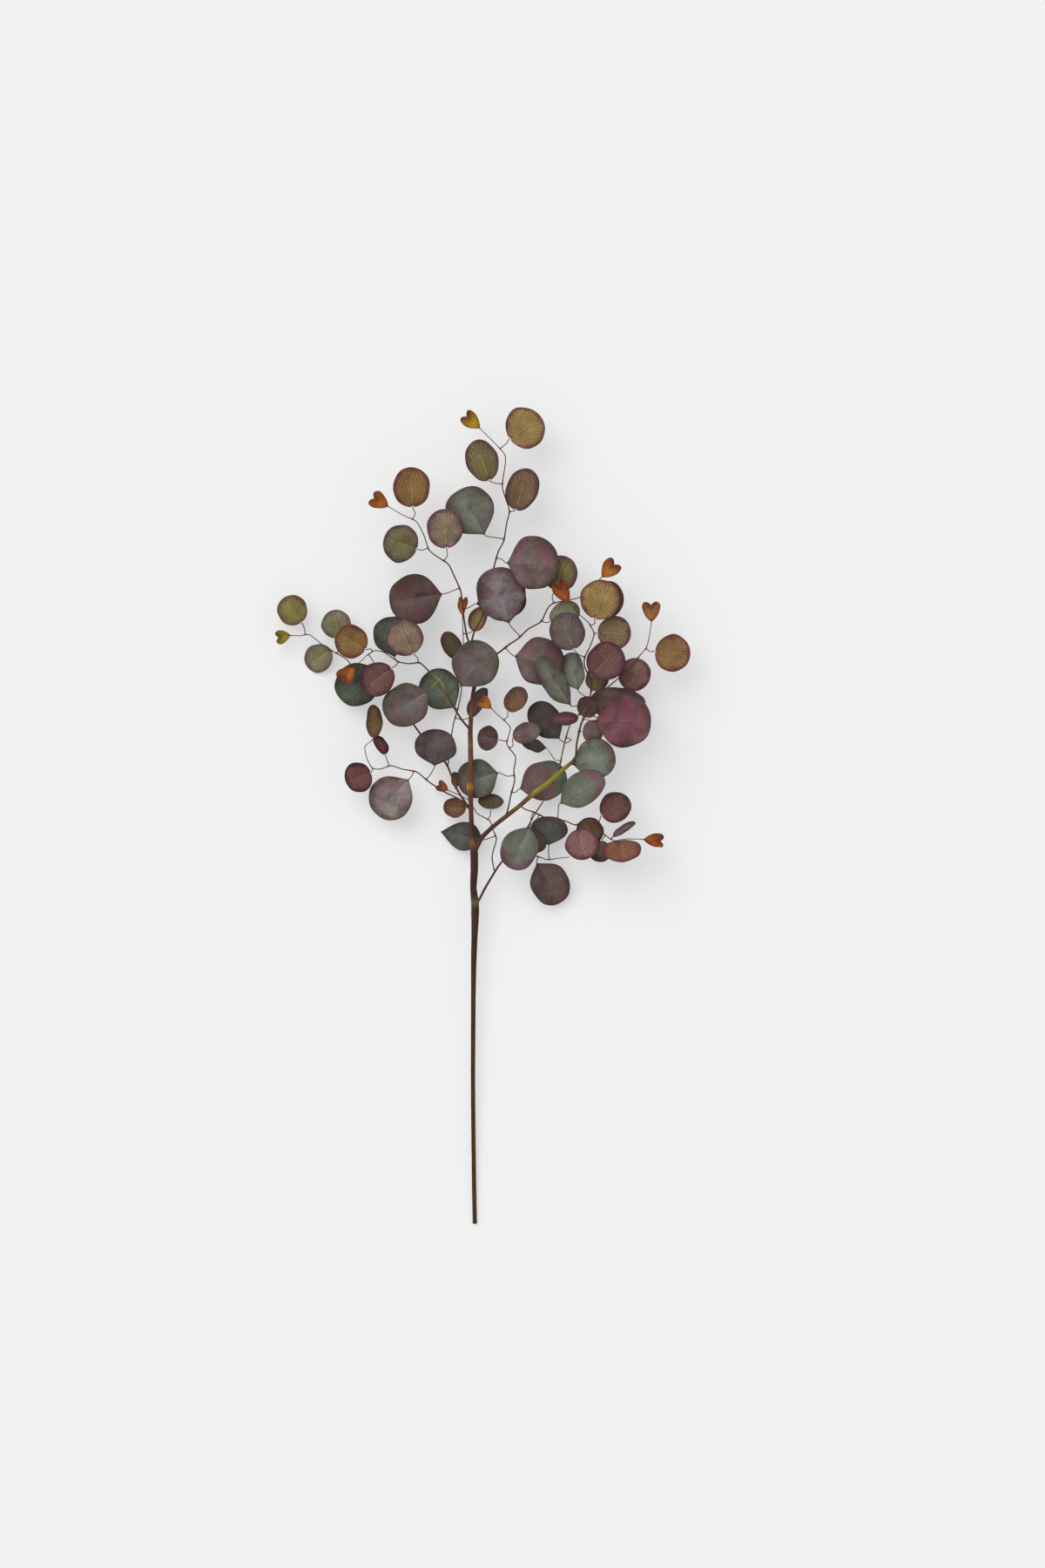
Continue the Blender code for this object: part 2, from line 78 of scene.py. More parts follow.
# Turn of the waves from one leaf to the next, the radii of a stalk at its twig and under the
# blade, a twig's share of the radius in its table, and what counts as the same place.
GOLDEN_ANGLE = math.radians(137.5)
PETIOLE_RADII = (0.55, 0.45)
TWIG_SHARE = 0.8
TOUCHING = 0.001

# Fine form of a blade: waves of its rim in and out and up and down, how much the right half
# differs from the left, the blade width that has the whole ripple, the groove's width, and
# the share of its thickness that a blade keeps where it meets the surface.
RIM_SWINGS = (9.0, 19.0)
SWING_TURN = 1.7
RIM_RIPPLES = 24.0
RIPPLE_TURN = 2.0
RIPPLE_WIDTH = 60.0
GROOVE_WIDTH = 1.5
KEPT_THICKNESS = 0.8

# A leaf stalk goes on under the blade, to these shares of it and this far below its middle:
# a depth, and what it loses from the base to the tip. It is wider at the twig.
UNDER_SHARES = (0.22, 0.4, 0.6)
UNDER_DEPTH = (1.15, 0.5)
STALK_SIDES = 8
STALK_FREE = 0.45
STALK_FLARE = 0.5
STALK_TAPER = 0.7
FLARE_REACH = 1.5
JOINT_REACH = 2.0

# Noises that shape the twigs, the ridges of the bark and its lumps, as their fineness along
# and round, and the fineness of the tints along a twig, for a place in metres.
TWIG_BUMPS = (0.25, 1.5)
BARK_RIDGES = (0.06, 3.0)
BARK_LUMPS = (0.2, 1.0)
TINT_FINENESS = 25.0

# How sharply twigs bend at their places; half is smoothest.
BEND = 0.32

# What the vertices of a blade and of bark carry for the materials; a blade's second tint is a painted
# highlight.
BLADE_VECTORS = ("plane", "spot", "traits")
BLADE_TINTS = ("ground", "highlight_and_patch", "rim", "line")

# Patterns of the leaf, for places in millimetres: scales of noises, veins, borders; the last is painted
# shade.
CLOUD_SCALE = 0.07
SPECK_SCALE = 0.6
PATCH_SCALE = 0.045
FLECK_SCALE = 0.22
WAVER_SCALE = 0.1
SEED_STEP = 40.0
VEIN_SLOPE = 1.05
VEIN_SPACING = 8.5
NET_CELL = 1.8
NET_RANDOM = 0.25
NET_CENTRE = 6.0
NET_ROUND = 22.0
RIM_DEPTH = 9.0
PAINTED_SHADE_DEPTH = 8.0
LEAF_RELIEF = 0.0006

# How strongly each layer of a blade's colour shows, from nothing to one.
SHOWS = {
    "rim": 0.85, "patch": 0.45, "olive": 0.4, "plum": 0.45, "painted_hollow_shade": 0.4, "fleck": 0.7,
    "pit": 0.8, "vein": 0.5, "net": 0.8, "rib": 0.8, "painted_shade_border": 0.35, "band": 0.8,
    "edge": 0.65, "stain": 0.6,
}

# Factors of a blade's own colour in its half with painted shade and some of its own purple, flecks, and
# olive and plum zones.
SHADED_HALF = (0.5, 0.38, 0.42, 1.0)
OLIVE_ZONE = (0.88, 1.1, 0.92, 1.0)
PLUM_ZONE = (1.12, 0.82, 0.96, 1.0)
OLIVE_FLECK = (0.95, 1.06, 0.82, 1.0)

# Fineness of the streaks of a bark, its relief in metres, and the share of its patches.
BARKS = {"stem_skin": (1.5, 0.0004, 0.9), "twig_skin": (1.2, 0.0002, 0.45)}

# Factors of the bark's own colour in its warm patches and in its dark ones.
WARM_BARK = (1.6, 1.45, 0.75, 1.0)
DARK_BARK = (0.5, 0.42, 0.45, 1.0)
GRAIN_STRETCH = 0.12
BARK_SEED = 30.0
GLOSS = 0.22

# The surface's own light, the lamp's softness and tilt in degrees, the film's height, and
# the place on the sheet that the camera looks at.
FLOOR_GLOW = 0.405
LAMP_SOFTNESS = 50.0
LAMP_TILT = (-28.0, -24.0)
FILM = 36.0
PICTURE_MIDDLE = (600.0, 900.0, 40.0)

# The stem: places of its middle line with the radius there.
STEM = [
    ((545.0, 1406.5, 2.4), 2.5),
    ((544.0, 1350.0, 5.4), 2.5),
    ((543.0, 1250.0, 10.4), 2.5),
    ((543.5, 1140.0, 15.9), 2.75),
    ((544.0, 1100.0, 17.9), 3.25),
    ((545.0, 1070.0, 19.4), 3.75),
    ((545.5, 1050.0, 20.4), 4.6),
    ((545.5, 1038.0, 21.0), 4.6),
    ((543.5, 1020.0, 21.9), 3.75),
    ((544.5, 1000.0, 22.9), 4.4),
    ((544.5, 980.0, 23.9), 4.6),
    ((542.0, 960.0, 24.9), 3.2),
    ((541.0, 940.0, 25.9), 2.75),
    ((540.5, 920.0, 26.9), 2.75),
    ((539.5, 905.0, 27.6), 3.9),
    ((540.0, 896.0, 28.1), 3.6),
    ((540.5, 870.0, 29.4), 3.0),
    ((540.0, 840.0, 30.9), 2.8),
    ((541.0, 820.0, 31.9), 2.6),
    ((543.0, 797.0, 33.0), 2.4),
    ((545.0, 785.0, 33.7), 2.3),
    ((543.0, 765.0, 34.7), 2.2),
    ((540.0, 738.0, 36.0), 2.0),
]

# The thick branch to the right, in the same form.
RIGHT_BRANCH = [
    ((544.3, 979.0, 24.0), 2.8),
    ((553.0, 962.0, 25.5), 2.7),
    ((565.0, 950.0, 27.0), 2.5),
    ((580.0, 938.0, 29.0), 2.5),
    ((598.0, 924.0, 33.0), 2.5),
    ((615.0, 909.0, 38.0), 2.9),
    ((628.0, 900.0, 42.0), 2.8),
    ((640.0, 889.0, 46.0), 2.6),
    ((658.0, 874.0, 54.0), 2.0),
]

# A twig is its places, then its first and last radius. A leaf is its kind, the place of its
# base, its heading on the sheet in degrees from +X towards +Y, length, width, pitch and roll
# in degrees, and the places that its petiole passes from the twig to the base.
CROWN_TWIGS = [
    ([(540, 742, 36), (545, 724, 37), (553, 710, 38), (560, 680, 40), (567, 652, 45),
      (573, 632, 60), (578, 623, 59), (582, 600, 54), (585, 588, 52), (577, 560, 50),
      (580, 523, 49), (571, 512, 49), (557, 498, 50), (551, 492, 51)], 1.4, 0.55),
    ([(540, 742, 36), (536, 730, 37), (533, 712, 39), (529, 679, 43), (521, 660, 47),
      (515, 648, 52), (500, 638, 56), (493, 632, 57), (487, 615, 58), (478, 599, 60),
      (463, 592, 61), (446, 582, 62)], 1.4, 0.55),
]
CROWN_LEAVES = [
    ("spade", (557, 615, 54), 121, 63, 56, -12, 0, [(572, 618, 56)]),
    ("spade", (581, 647, 68), 0, 60, 63, 2, 0, [(577, 643, 65)]),
    ("round", (585, 504, 51), 34, 44, 49, 2, 4, [(582, 509, 50)]),
    ("round", (562, 552, 51), 110, 49, 38, 2, 14, [(568, 555, 50)]),
    ("round", (592, 586, 53), 72, 50, 38, 2, 12, []),
    ("heart", (551, 492, 51), 139, 24, 19, 5, 8, []),
    ("spade", (509, 682, 45), 189, 63, 57, -4, 0, [(516, 680, 44)]),
    ("spade", (546, 693, 31), 8, 59, 46, -3, 0, [(537, 698, 36)]),
    ("round", (513, 630, 64), 95, 45, 42, 3, 0, [(514, 638, 60)]),
    ("round", (474, 583, 62), 93, 46, 43, 2, -4, [(477, 590, 61)]),
    ("round", (479, 631, 58), 160, 40, 44, 2, 6, [(485, 632, 58)]),
    ("heart", (446, 582, 62), 150, 22, 20, 4, -8, []),
]

UPPER_RIGHT_TWIGS = [
    ([(543, 768, 34.5), (558, 757, 38), (573, 749, 41), (586, 739, 45), (594, 734, 47),
      (607, 722, 50), (621, 714, 53), (630, 697, 55), (635, 693, 56), (648, 690, 57),
      (666, 686, 58), (676, 678, 60), (687, 667, 62), (692, 662, 63)], 1.5, 0.55),
]
UPPER_RIGHT_LEAVES = [
    ("spade", (585, 717, 55), 106, 67, 57, 1, 0, [(591, 724, 51)]),
    ("spade", (590, 753, 47), -12, 58, 56, 3, 0, [(584, 748, 45)]),
    ("round", (637, 678, 57), 72, 41, 40, 2, 0, [(634, 685, 57)]),
    ("round", (632, 714, 55), 27, 37, 30, 0, -10, [(626, 715, 54)]),
    ("round", (672, 688, 54), 0, 45, 44, -6, 0, []),
    ("heart", (691, 663, 63), 46, 24, 21, 4, 6, []),
]

LEFT_TWIGS = [
    ([(540, 838, 31), (530, 826, 35), (516, 803, 40), (506, 782, 44), (493, 771, 47),
      (482, 761, 49), (470, 762, 50), (458, 760, 51), (441, 749, 52), (431, 747, 53),
      (421, 753, 53), (414, 760, 53), (407, 766, 53)], 1.6, 0.55),
]
LEFT_LEAVES = [
    ("spade", (528, 789, 54), 56, 59, 54, 2, 0, [(518, 795, 46), (525, 788, 52)]),
    ("spade", (493, 793, 50), 211, 59, 50, -4, 0, [(500, 785, 47)]),
    ("round", (475, 751, 55), 118, 42, 42, 2, 0, [(480, 756, 52)]),
    ("round", (450, 767, 52), 218, 42, 38, -2, 0, [(455, 764, 51)]),
    ("spade", (453, 755, 45), 95, 53, 46, -22, 0, [(457, 760, 49)]),
    ("round", (420, 746, 56), 150, 38, 39, 2, 8, [(426, 745, 54)]),
    ("spade", (432.5, 766, 40), 220, 60, 49, -18, 0, [(427, 757, 46)]),
    ("heart", (407, 766, 54), 225, 22, 20, 2, 0, []),
]

LOW_LEFT_TWIGS = [
    ([(541.5, 932, 26.3), (532, 918, 24), (524, 905, 22), (514, 880, 19), (506, 868, 18),
      (483, 843, 16), (452, 800, 14), (425, 775, 13), (405, 766, 14), (398, 757, 15),
      (383, 748, 16), (370, 740, 18), (354, 728, 20), (344, 729.5, 21),
      (333, 729, 22)], 1.7, 0.55),
    ([(514, 880, 19), (518, 846, 18), (521, 829, 18), (526, 812, 18), (530, 790, 20),
      (532, 742, 25), (531, 706, 30)], 1.0, 0.55),
    ([(541, 930, 26.4), (528, 918, 29), (512, 910, 31), (493, 898, 34), (478, 886, 35),
      (462, 883, 36), (449, 879, 36), (436, 883, 36), (428, 882, 36), (421, 870, 36),
      (419, 857, 36), (427, 850, 36)], 1.2, 0.55),
]
LOW_LEFT_LEAVES = [
    ("round", (346, 714, 23), 128, 35, 35, 2, 0, [(349, 721, 22)]),
    ("heart", (333, 729, 22), 190, 17, 16, 0, 0, []),
    ("round", (390, 732, 20), 105, 33, 34, 3, 0, [(391, 741, 18)]),
    ("round", (379, 745, 15.5), 216, 38, 32, -23, 0, []),
    ("spade", (523, 813, 17), 130, 54, 46, -8, 0, []),
    ("round", (540, 823, 15), 65, 38, 28, 0, 52, [(530, 826, 16)]),
    ("round", (543, 724, 24), 68, 30, 22, 0, 20, [(537, 727, 25)]),
    ("round", (525, 756, 22), 113, 34, 23, 0, -18, []),
    ("heart", (531, 706, 30), 90, 21, 17, 0, 48, []),
    ("round", (523.5, 903, 10), 92, 17, 14, 0, -36, []),
    ("round", (535, 928, 19), 176, 27, 23, -10, 0, []),
    ("spade", (499, 880, 38), 87, 43, 48, 2, 0, [(495, 888, 36)]),
    ("spade", (470, 894, 35), 226, 57, 51, -8, 0, [(474, 889, 35)]),
    ("round", (426, 887, 36), 200, 31, 36, 2, 6, []),
    ("round", (429, 847, 37), 88, 38, 24, 2, -40, []),
    ("round", (442, 866, 35), 112, 25, 18, -14, -40, [(445, 874, 35)]),
]

INNER_RIGHT_TWIGS = [
    ([(641, 889, 46.5), (643, 878, 49), (645, 868, 50), (649, 850, 51), (656, 829, 53),
      (663, 822, 54), (673, 808, 56), (676, 800, 57)], 1.3, 0.55),
]
INNER_RIGHT_LEAVES = [
    ("spade", (656, 811, 68), 126, 67, 37, 0, 40, [(668, 809, 61)]),
    ("spade", (664, 793, 44), 106, 45, 33, -2, 28, [(671, 799, 51)]),
    ("round", (667, 821, 44), 50, 25, 25, -4, 0, []),
    ("round", (664, 824, 49), 184, 29, 18, 0, 30, []),
    ("spade", (643, 849, 36), 127, 52, 36, -4, 0, [(656, 849, 45), (650, 853, 39)]),
    ("spade", (628, 859, 27), 166, 30, 27, 0, 58, [(637, 872, 38)]),
]

OUTER_RIGHT_TWIGS = [
    ([(657, 875, 53.5), (661, 868, 56), (662, 855, 58), (667, 832, 61), (674, 815, 63),
      (677, 803, 64), (679, 783, 66), (671, 765, 66), (671, 756, 66), (678, 741, 66),
      (682, 728, 66), (676, 716, 68), (664, 705, 72), (653, 692, 76)], 1.6, 0.55),
    ([(677, 803, 64), (690, 795, 61), (705, 783, 56), (722, 768, 52), (736, 751, 50),
      (742, 744, 50), (745, 733, 51), (748, 714, 53)], 1.1, 0.55),
]
OUTER_RIGHT_LEAVES = [
    ("heart", (653, 692, 76), 122, 27, 21, 4, 26, []),
    ("round", (659, 746, 76), 111, 44, 41, 2, 0, [(663, 751, 71)]),
    ("round", (682, 711, 76), 72, 46, 46, 1, 0, [(683, 716, 72)]),
    ("round", (686, 727, 64), 0, 39, 39, -6, 0, []),
    ("round", (680, 776, 80), 47, 45, 44, 2, 0, [(681, 780, 73)]),
    ("round", (734, 756, 48), 254, 39, 37, -8, 0, []),
    ("round", (752, 748, 52), -6, 41, 43, -3, 0, [(746, 748, 51)]),
    ("heart", (748, 714, 53), 92, 23, 21, 3, 0, []),
    ("round", (681, 793, 55), 72, 28, 27, -5, 0, []),
    ("spade", (707, 833, 46.1), 84, 64, 64, -42, 0, [(690, 826, 55), (702, 833, 49)]),
    ("spade", (682, 828, 78), 0, 65, 62, 2, 0, [(675, 827, 70)]),
    ("spade", (657, 878, 47), 14, 51, 47, -3, 0, [(661, 873, 51)]),
    ("round", (669, 839, 40), -5, 24, 28, -4, 0, [(667, 840, 50)]),
]

MIDDLE_TWIGS = [
    ([(580, 938, 29), (583, 930, 27.5), (587, 911, 24), (591, 896, 24.5), (590, 885, 27),
      (592, 869, 32), (582, 854, 38), (586, 835, 42), (580, 828, 44), (570, 819, 46),
      (564, 813, 48)], 1.2, 0.55),
]
MIDDLE_LEAVES = [
    ("spade", (596, 906, 23), 19, 57, 46, 7, 0, [(591, 910, 23.5)]),
    ("spade", (573, 887, 18), 195, 49, 46, -1, 0, [(582, 891, 21)]),
    ("round", (589, 847, 48), 20, 33, 24, 2, 12, [(589, 856, 41)]),
    ("round", (572, 849, 37), 172, 24, 29, 0, 10, []),
    ("round", (583, 816, 45), 55, 32, 25, 2, 8, [(583, 822, 44)]),
    ("heart", (564, 813, 48), 140, 18, 15, 4, 0, []),
]

LOW_RIGHT_TWIGS = [
    ([(597, 925, 32.8), (603, 929, 35), (612, 932, 37), (625, 938, 41), (632, 941, 43),
      (648, 942, 45), (661, 947, 46), (668, 944, 47), (687, 945, 49), (694, 958, 49),
      (705, 965, 49), (720, 963, 49), (739, 963.5, 50)], 1.1, 0.55),
]
LOW_RIGHT_LEAVES = [
    ("spade", (609, 948, 50), 245, 54, 43, 0, 0, [(610, 938, 45)]),
    ("spade", (609, 953, 34), -62, 28, 23, -5, 0, [(615, 944, 36)]),
    ("spade", (642, 923, 56), 33, 60, 38, 3, 0, [(641, 932, 50)]),
    ("round", (665, 951.5, 54), -80, 36, 38, 1, 0, [(663, 948, 49)]),
    ("round", (667, 942, 39), -50, 32, 32, -3, 0, [(667, 944.5, 44)]),
    ("round", (691, 965, 37), -98, 25, 27, -3, 0, []),
    ("round", (690.5, 936, 52), 30, 37, 35, 2, 6, [(689, 940, 50)]),
    ("round", (713, 964.5, 52), -85, 29, 44, 35, 0, []),
    ("round", (704, 960, 53), 36, 30, 18, 4, 62, []),
    ("heart", (739, 963.5, 50), -4, 23, 18, 2, 26, []),
]

LOWEST_TWIGS = [
    ([(545.5, 1042, 20.9), (558, 1018, 22), (572, 995, 23), (578, 987, 23.5), (592, 967, 24),
      (607, 948, 23), (612, 938, 21.5), (624, 920, 17)], 1.9, 0.9),
    ([(578, 987, 23.5), (600, 984, 25), (616, 983, 26), (629, 987, 27), (640, 985.5, 28),
      (654, 984, 30)], 1.0, 0.55),
    ([(568, 1002, 22.7), (565, 985, 19), (566, 978, 17.5), (570, 963, 14.5), (565, 950, 12.5),
      (563, 943, 12), (548, 934, 11), (538, 919, 10.5), (521, 910, 11),
      (514, 907, 12)], 1.0, 0.55),
]
LOWEST_LEAVES = [
    ("spade", (630, 971, 27), 90, 34, 44, -3, 0, [(630, 980, 27)]),
    ("spade", (616, 990, 25), -58, 56, 45, -10, 0, []),
    ("point", (556, 964, 12), 170, 52, 38, -2, 0, [(563, 962, 13)]),
    ("round", (563, 929, 12), 88, 18, 29, -3, 0, [(563, 936, 12)]),
    ("heart", (514, 907, 12), 150, 14, 13, 0, 0, []),
]

# Looks of the leaves as display colours: ground, middle (a painted highlight, also used for pale
# patches), rim and vein
# lines, then shares from nothing to one: fine net, painted shade on one half, painted highlight in the
# middle, and tip in the rim's colour.
LOOKS = {
    "grey_green": ((84, 80, 70), (114, 116, 106), (84, 70, 62), (122, 126, 116), 0.0, 0.7, 0.9, 0.3),
    "green_mauve": ((96, 98, 86), (120, 126, 114), (104, 74, 82), (122, 132, 120), 0.0, 0.5, 0.7, 1.0),
    "pale_green": ((102, 106, 92), (132, 140, 128), (104, 80, 78), (140, 144, 128), 0.0, 0.5, 0.9, 0.3),
    "mauve": ((104, 70, 75), (122, 102, 103), (80, 71, 58), (128, 108, 108), 0.0, 0.7, 0.8, 0.0),
    "pale_mauve": ((122, 100, 103), (147, 136, 136), (98, 84, 76), (147, 134, 132), 0.0, 0.6, 0.9, 0.0),
    "grey_mauve": ((90, 68, 70), (110, 98, 97), (82, 78, 62), (124, 114, 112), 0.0, 0.6, 0.9, 0.0),
    "purple": ((93, 60, 68), (131, 122, 126), (72, 58, 52), (136, 128, 132), 0.0, 0.5, 1.0, 0.0),
    "plum": ((106, 58, 69), (124, 80, 90), (86, 62, 56), (132, 92, 98), 0.0, 0.5, 0.7, 0.0),
    "dark": ((74, 57, 58), (93, 81, 80), (58, 46, 46), (98, 86, 86), 0.0, 0.5, 0.8, 0.0),
    "dark_purple": ((80, 46, 50), (98, 76, 76), (66, 60, 46), (108, 88, 88), 0.0, 0.7, 0.8, 0.0),
    "dark_green": ((60, 68, 54), (88, 98, 84), (56, 52, 44), (96, 102, 84), 0.0, 0.5, 0.9, 0.0),
    "pink_grey": ((122, 90, 92), (108, 110, 98), (96, 62, 68), (136, 116, 112), 0.0, 0.3, 0.9, 0.5),
    "brown_mauve": ((104, 74, 68), (116, 96, 86), (80, 52, 50), (126, 104, 92), 0.2, 0.4, 0.6, 0.0),
    "red_brown": ((104, 62, 50), (116, 92, 58), (82, 44, 40), (130, 98, 70), 0.3, 0.4, 0.6, 0.6),
    "tan": ((118, 86, 58), (130, 104, 70), (86, 52, 44), (140, 114, 82), 0.3, 0.4, 0.5, 0.6),
    "maroon": ((86, 42, 46), (104, 60, 56), (62, 28, 34), (126, 84, 72), 0.4, 0.4, 0.5, 0.0),
    "dark_olive": ((78, 70, 46), (94, 86, 56), (76, 48, 44), (112, 102, 66), 0.4, 0.3, 0.5, 0.6),
    "olive_net": ((93, 84, 49), (112, 103, 60), (88, 58, 58), (146, 134, 84), 1.0, 0.6, 0.6, 0.0),
    "grey_net": ((98, 82, 72), (116, 110, 74), (84, 62, 62), (142, 136, 82), 1.0, 0.6, 0.6, 0.0),
    "slate_net": ((92, 76, 80), (108, 96, 92), (80, 60, 66), (132, 122, 98), 1.0, 0.6, 0.6, 0.0),
    "pale_net": ((114, 111, 84), (130, 127, 92), (104, 84, 78), (158, 150, 104), 1.0, 0.4, 0.6, 0.0),
    "ochre_net": ((143, 109, 63), (160, 136, 76), (104, 66, 54), (170, 146, 90), 1.0, 0.4, 0.6, 0.0),
    "brown_net": ((97, 65, 57), (113, 85, 66), (78, 46, 50), (148, 126, 78), 1.0, 0.6, 0.5, 0.0),
    "plum_net": ((94, 52, 60), (105, 64, 69), (74, 40, 50), (140, 106, 88), 1.0, 0.5, 0.5, 0.0),
    "mauve_net": ((120, 92, 90), (137, 119, 104), (90, 60, 66), (160, 146, 98), 1.0, 0.5, 0.6, 0.0),
    "copper_net": ((124, 72, 58), (138, 90, 68), (104, 52, 50), (164, 118, 90), 1.0, 0.3, 0.5, 0.0),
    "orange_net": ((118, 80, 46), (140, 108, 56), (98, 52, 42), (168, 136, 78), 1.0, 0.4, 0.5, 0.0),
    "maroon_net": ((98, 53, 55), (113, 70, 68), (68, 34, 38), (138, 100, 80), 1.0, 0.5, 0.5, 0.0),
    "lime_net": ((116, 106, 44), (130, 122, 58), (104, 76, 60), (160, 150, 92), 1.0, 0.5, 0.6, 0.0),
    "tan_net": ((118, 96, 72), (132, 110, 80), (104, 66, 60), (160, 144, 100), 1.0, 0.4, 0.6, 0.0),
    "pink_net": ((124, 80, 84), (136, 96, 94), (96, 54, 66), (160, 132, 108), 1.0, 0.4, 0.6, 0.0),
    "amber_net": ((132, 94, 60), (146, 112, 68), (112, 62, 54), (172, 138, 90), 1.0, 0.3, 0.6, 0.0),
    "mist_net": ((136, 140, 112), (148, 152, 122), (112, 100, 90), (168, 168, 132), 0.7, 0.3, 0.6, 0.0),
    "mist": ((124, 128, 112), (142, 148, 134), (112, 98, 94), (150, 154, 138), 0.0, 0.5, 0.8, 0.3),
    "slate": ((78, 86, 72), (104, 114, 100), (72, 62, 58), (110, 118, 100), 0.0, 0.6, 0.9, 0.0),
    "deep": ((58, 46, 44), (74, 64, 60), (46, 36, 36), (82, 70, 66), 0.0, 0.5, 0.7, 0.0),
    "mauve_tip": ((104, 78, 78), (118, 100, 98), (86, 102, 88), (122, 112, 104), 0.0, 0.5, 0.6, 0.8),
    "teal_dark": ((68, 66, 60), (84, 94, 84), (72, 48, 52), (100, 104, 94), 0.0, 0.6, 0.8, 0.3),
    "dusk": ((94, 68, 70), (108, 88, 88), (76, 64, 52), (110, 92, 90), 0.0, 0.6, 0.7, 0.0),
    "amber": ((156, 114, 6), (168, 132, 14), (146, 84, 8), (172, 132, 30), 0.0, 0.15, 0.9, 0.0),
    "orange": ((158, 78, 10), (168, 100, 22), (142, 58, 12), (172, 112, 36), 0.0, 0.15, 0.9, 0.0),
    "tan_orange": ((150, 98, 42), (158, 114, 56), (140, 70, 30), (166, 124, 66), 0.2, 0.15, 0.9, 0.0),
    "red_orange": ((144, 62, 16), (150, 90, 34), (126, 44, 16), (164, 104, 48), 0.0, 0.15, 0.9, 0.0),
    "olive_heart": ((128, 108, 24), (142, 124, 34), (116, 70, 26), (156, 138, 56), 0.0, 0.3, 0.8, 0.2),
}

# The look of each leaf of a spray, in the order of its table.
CROWN_LOOKS = [
    "grey_green", "mauve", "ochre_net", "olive_net", "brown_net", "amber",
    "dark_purple", "dark", "mauve_net", "orange_net", "grey_net", "orange",
]
UPPER_RIGHT_LOOKS = ["purple", "mauve", "olive_net", "mist_net", "red_brown", "orange"]
LEFT_LOOKS = [
    "grey_mauve", "grey_mauve", "mauve_net", "plum_net", "dark_green", "orange_net",
    "dark_green", "orange",
]
LOW_LEFT_LOOKS = [
    "lime_net", "olive_heart", "pale_net", "pale_net", "slate", "dark", "ochre_net",
    "dark_olive", "orange", "tan", "red_brown", "dark", "pale_mauve", "maroon_net", "tan",
    "maroon",
]
INNER_RIGHT_LOOKS = [
    "grey_green", "mist", "brown_mauve", "plum", "deep", "deep",
]
OUTER_RIGHT_LOOKS = [
    "red_orange", "slate_net", "ochre_net", "tan_net", "plum_net", "pink_net", "amber_net",
    "tan_orange", "olive_net", "brown_mauve", "plum", "pale_green", "pink_grey",
]
MIDDLE_LOOKS = ["mauve_tip", "grey_green", "mauve", "dark_purple", "red_brown", "orange"]
LOW_RIGHT_LOOKS = [
    "green_mauve", "dark_purple", "green_mauve", "pink_net", "brown_net", "brown_mauve", "maroon_net",
    "copper_net", "brown_mauve", "red_orange",
]
LOWEST_LOOKS = ["teal_dark", "dusk", "teal_dark", "dark_olive", "red_orange"]

# Name, tables and looks.
SPRAYS = [
    ("crown_spray", CROWN_TWIGS, CROWN_LEAVES, CROWN_LOOKS),
    ("upper_right_spray", UPPER_RIGHT_TWIGS, UPPER_RIGHT_LEAVES, UPPER_RIGHT_LOOKS),
    ("left_spray", LEFT_TWIGS, LEFT_LEAVES, LEFT_LOOKS),
    ("low_left_spray", LOW_LEFT_TWIGS, LOW_LEFT_LEAVES, LOW_LEFT_LOOKS),
    ("inner_right_spray", INNER_RIGHT_TWIGS, INNER_RIGHT_LEAVES, INNER_RIGHT_LOOKS),
    ("outer_right_spray", OUTER_RIGHT_TWIGS, OUTER_RIGHT_LEAVES, OUTER_RIGHT_LOOKS),
    ("middle_spray", MIDDLE_TWIGS, MIDDLE_LEAVES, MIDDLE_LOOKS),
    ("low_right_spray", LOW_RIGHT_TWIGS, LOW_RIGHT_LEAVES, LOW_RIGHT_LOOKS),
    ("lowest_spray", LOWEST_TWIGS, LOWEST_LEAVES, LOWEST_LOOKS),
]

# Tints of the wood as display colours, with how far along the sheet each of them is.
STEM_TINTS = [
    (738.0, (80, 42, 38)),
    (820.0, (98, 62, 48)),
    (895.0, (98, 64, 44)),
    (940.0, (78, 48, 42)),
    (1000.0, (56, 34, 30)),
    (1050.0, (60, 38, 26)),
    (1150.0, (64, 42, 6)),
    (1290.0, (68, 43, 2)),
    (1406.5, (66, 42, 6)),
]
BRANCH_TINTS = [
    (876.0, (92, 66, 38)),
    (882.0, (150, 140, 44)),
    (908.0, (140, 128, 42)),
    (920.0, (88, 60, 42)),
    (979.0, (72, 42, 38)),
]
# A place on the sheet, how far it reaches, and its colour.
WOOD_SPOTS = [
    ((537.0, 903.0), 4.0, (176, 134, 56)),
    ((549.0, 1036.0), 5.0, (92, 100, 62)),
    ((541.0, 968.0), 5.0, (120, 84, 52)),
    ((541.0, 855.0), 6.0, (112, 84, 52)),
    ((502.0, 784.0), 11.0, (150, 136, 56)),
    ((594.0, 927.0), 6.0, (112, 86, 46)),
    ((606.0, 930.0), 6.0, (128, 108, 48)),
    ((645.0, 868.0), 12.0, (116, 98, 50)),
]

# Rings of the cut end from the bark inwards: width and colour.
CUT_RINGS = [
    (0.3, (90, 62, 36)),
    (0.1, (178, 152, 104)),
    (1.2, (190, 168, 122)),
    (0.15, (120, 88, 54)),
]


def linear(colour):
    """A display colour of three numbers up to 255 as linear light."""
    shares = [c / 255.0 for c in colour]
    return [s / 12.92 if s <= 0.04045 else ((s + 0.055) / 1.055) ** 2.4 for s in shares]


def colour_field(name, description, display):
    """A colour setting whose default is a display colour."""
    return bpy.props.FloatVectorProperty(
        name=name, description=description, default=linear(display), size=3, min=0.0, max=1.0,
        subtype="COLOR")


def length_field(name, description, default):
    """A size setting, in metres."""
    return bpy.props.FloatProperty(
        name=name, description=description, default=default, min=0.0, precision=5,
        subtype="DISTANCE", unit="LENGTH")


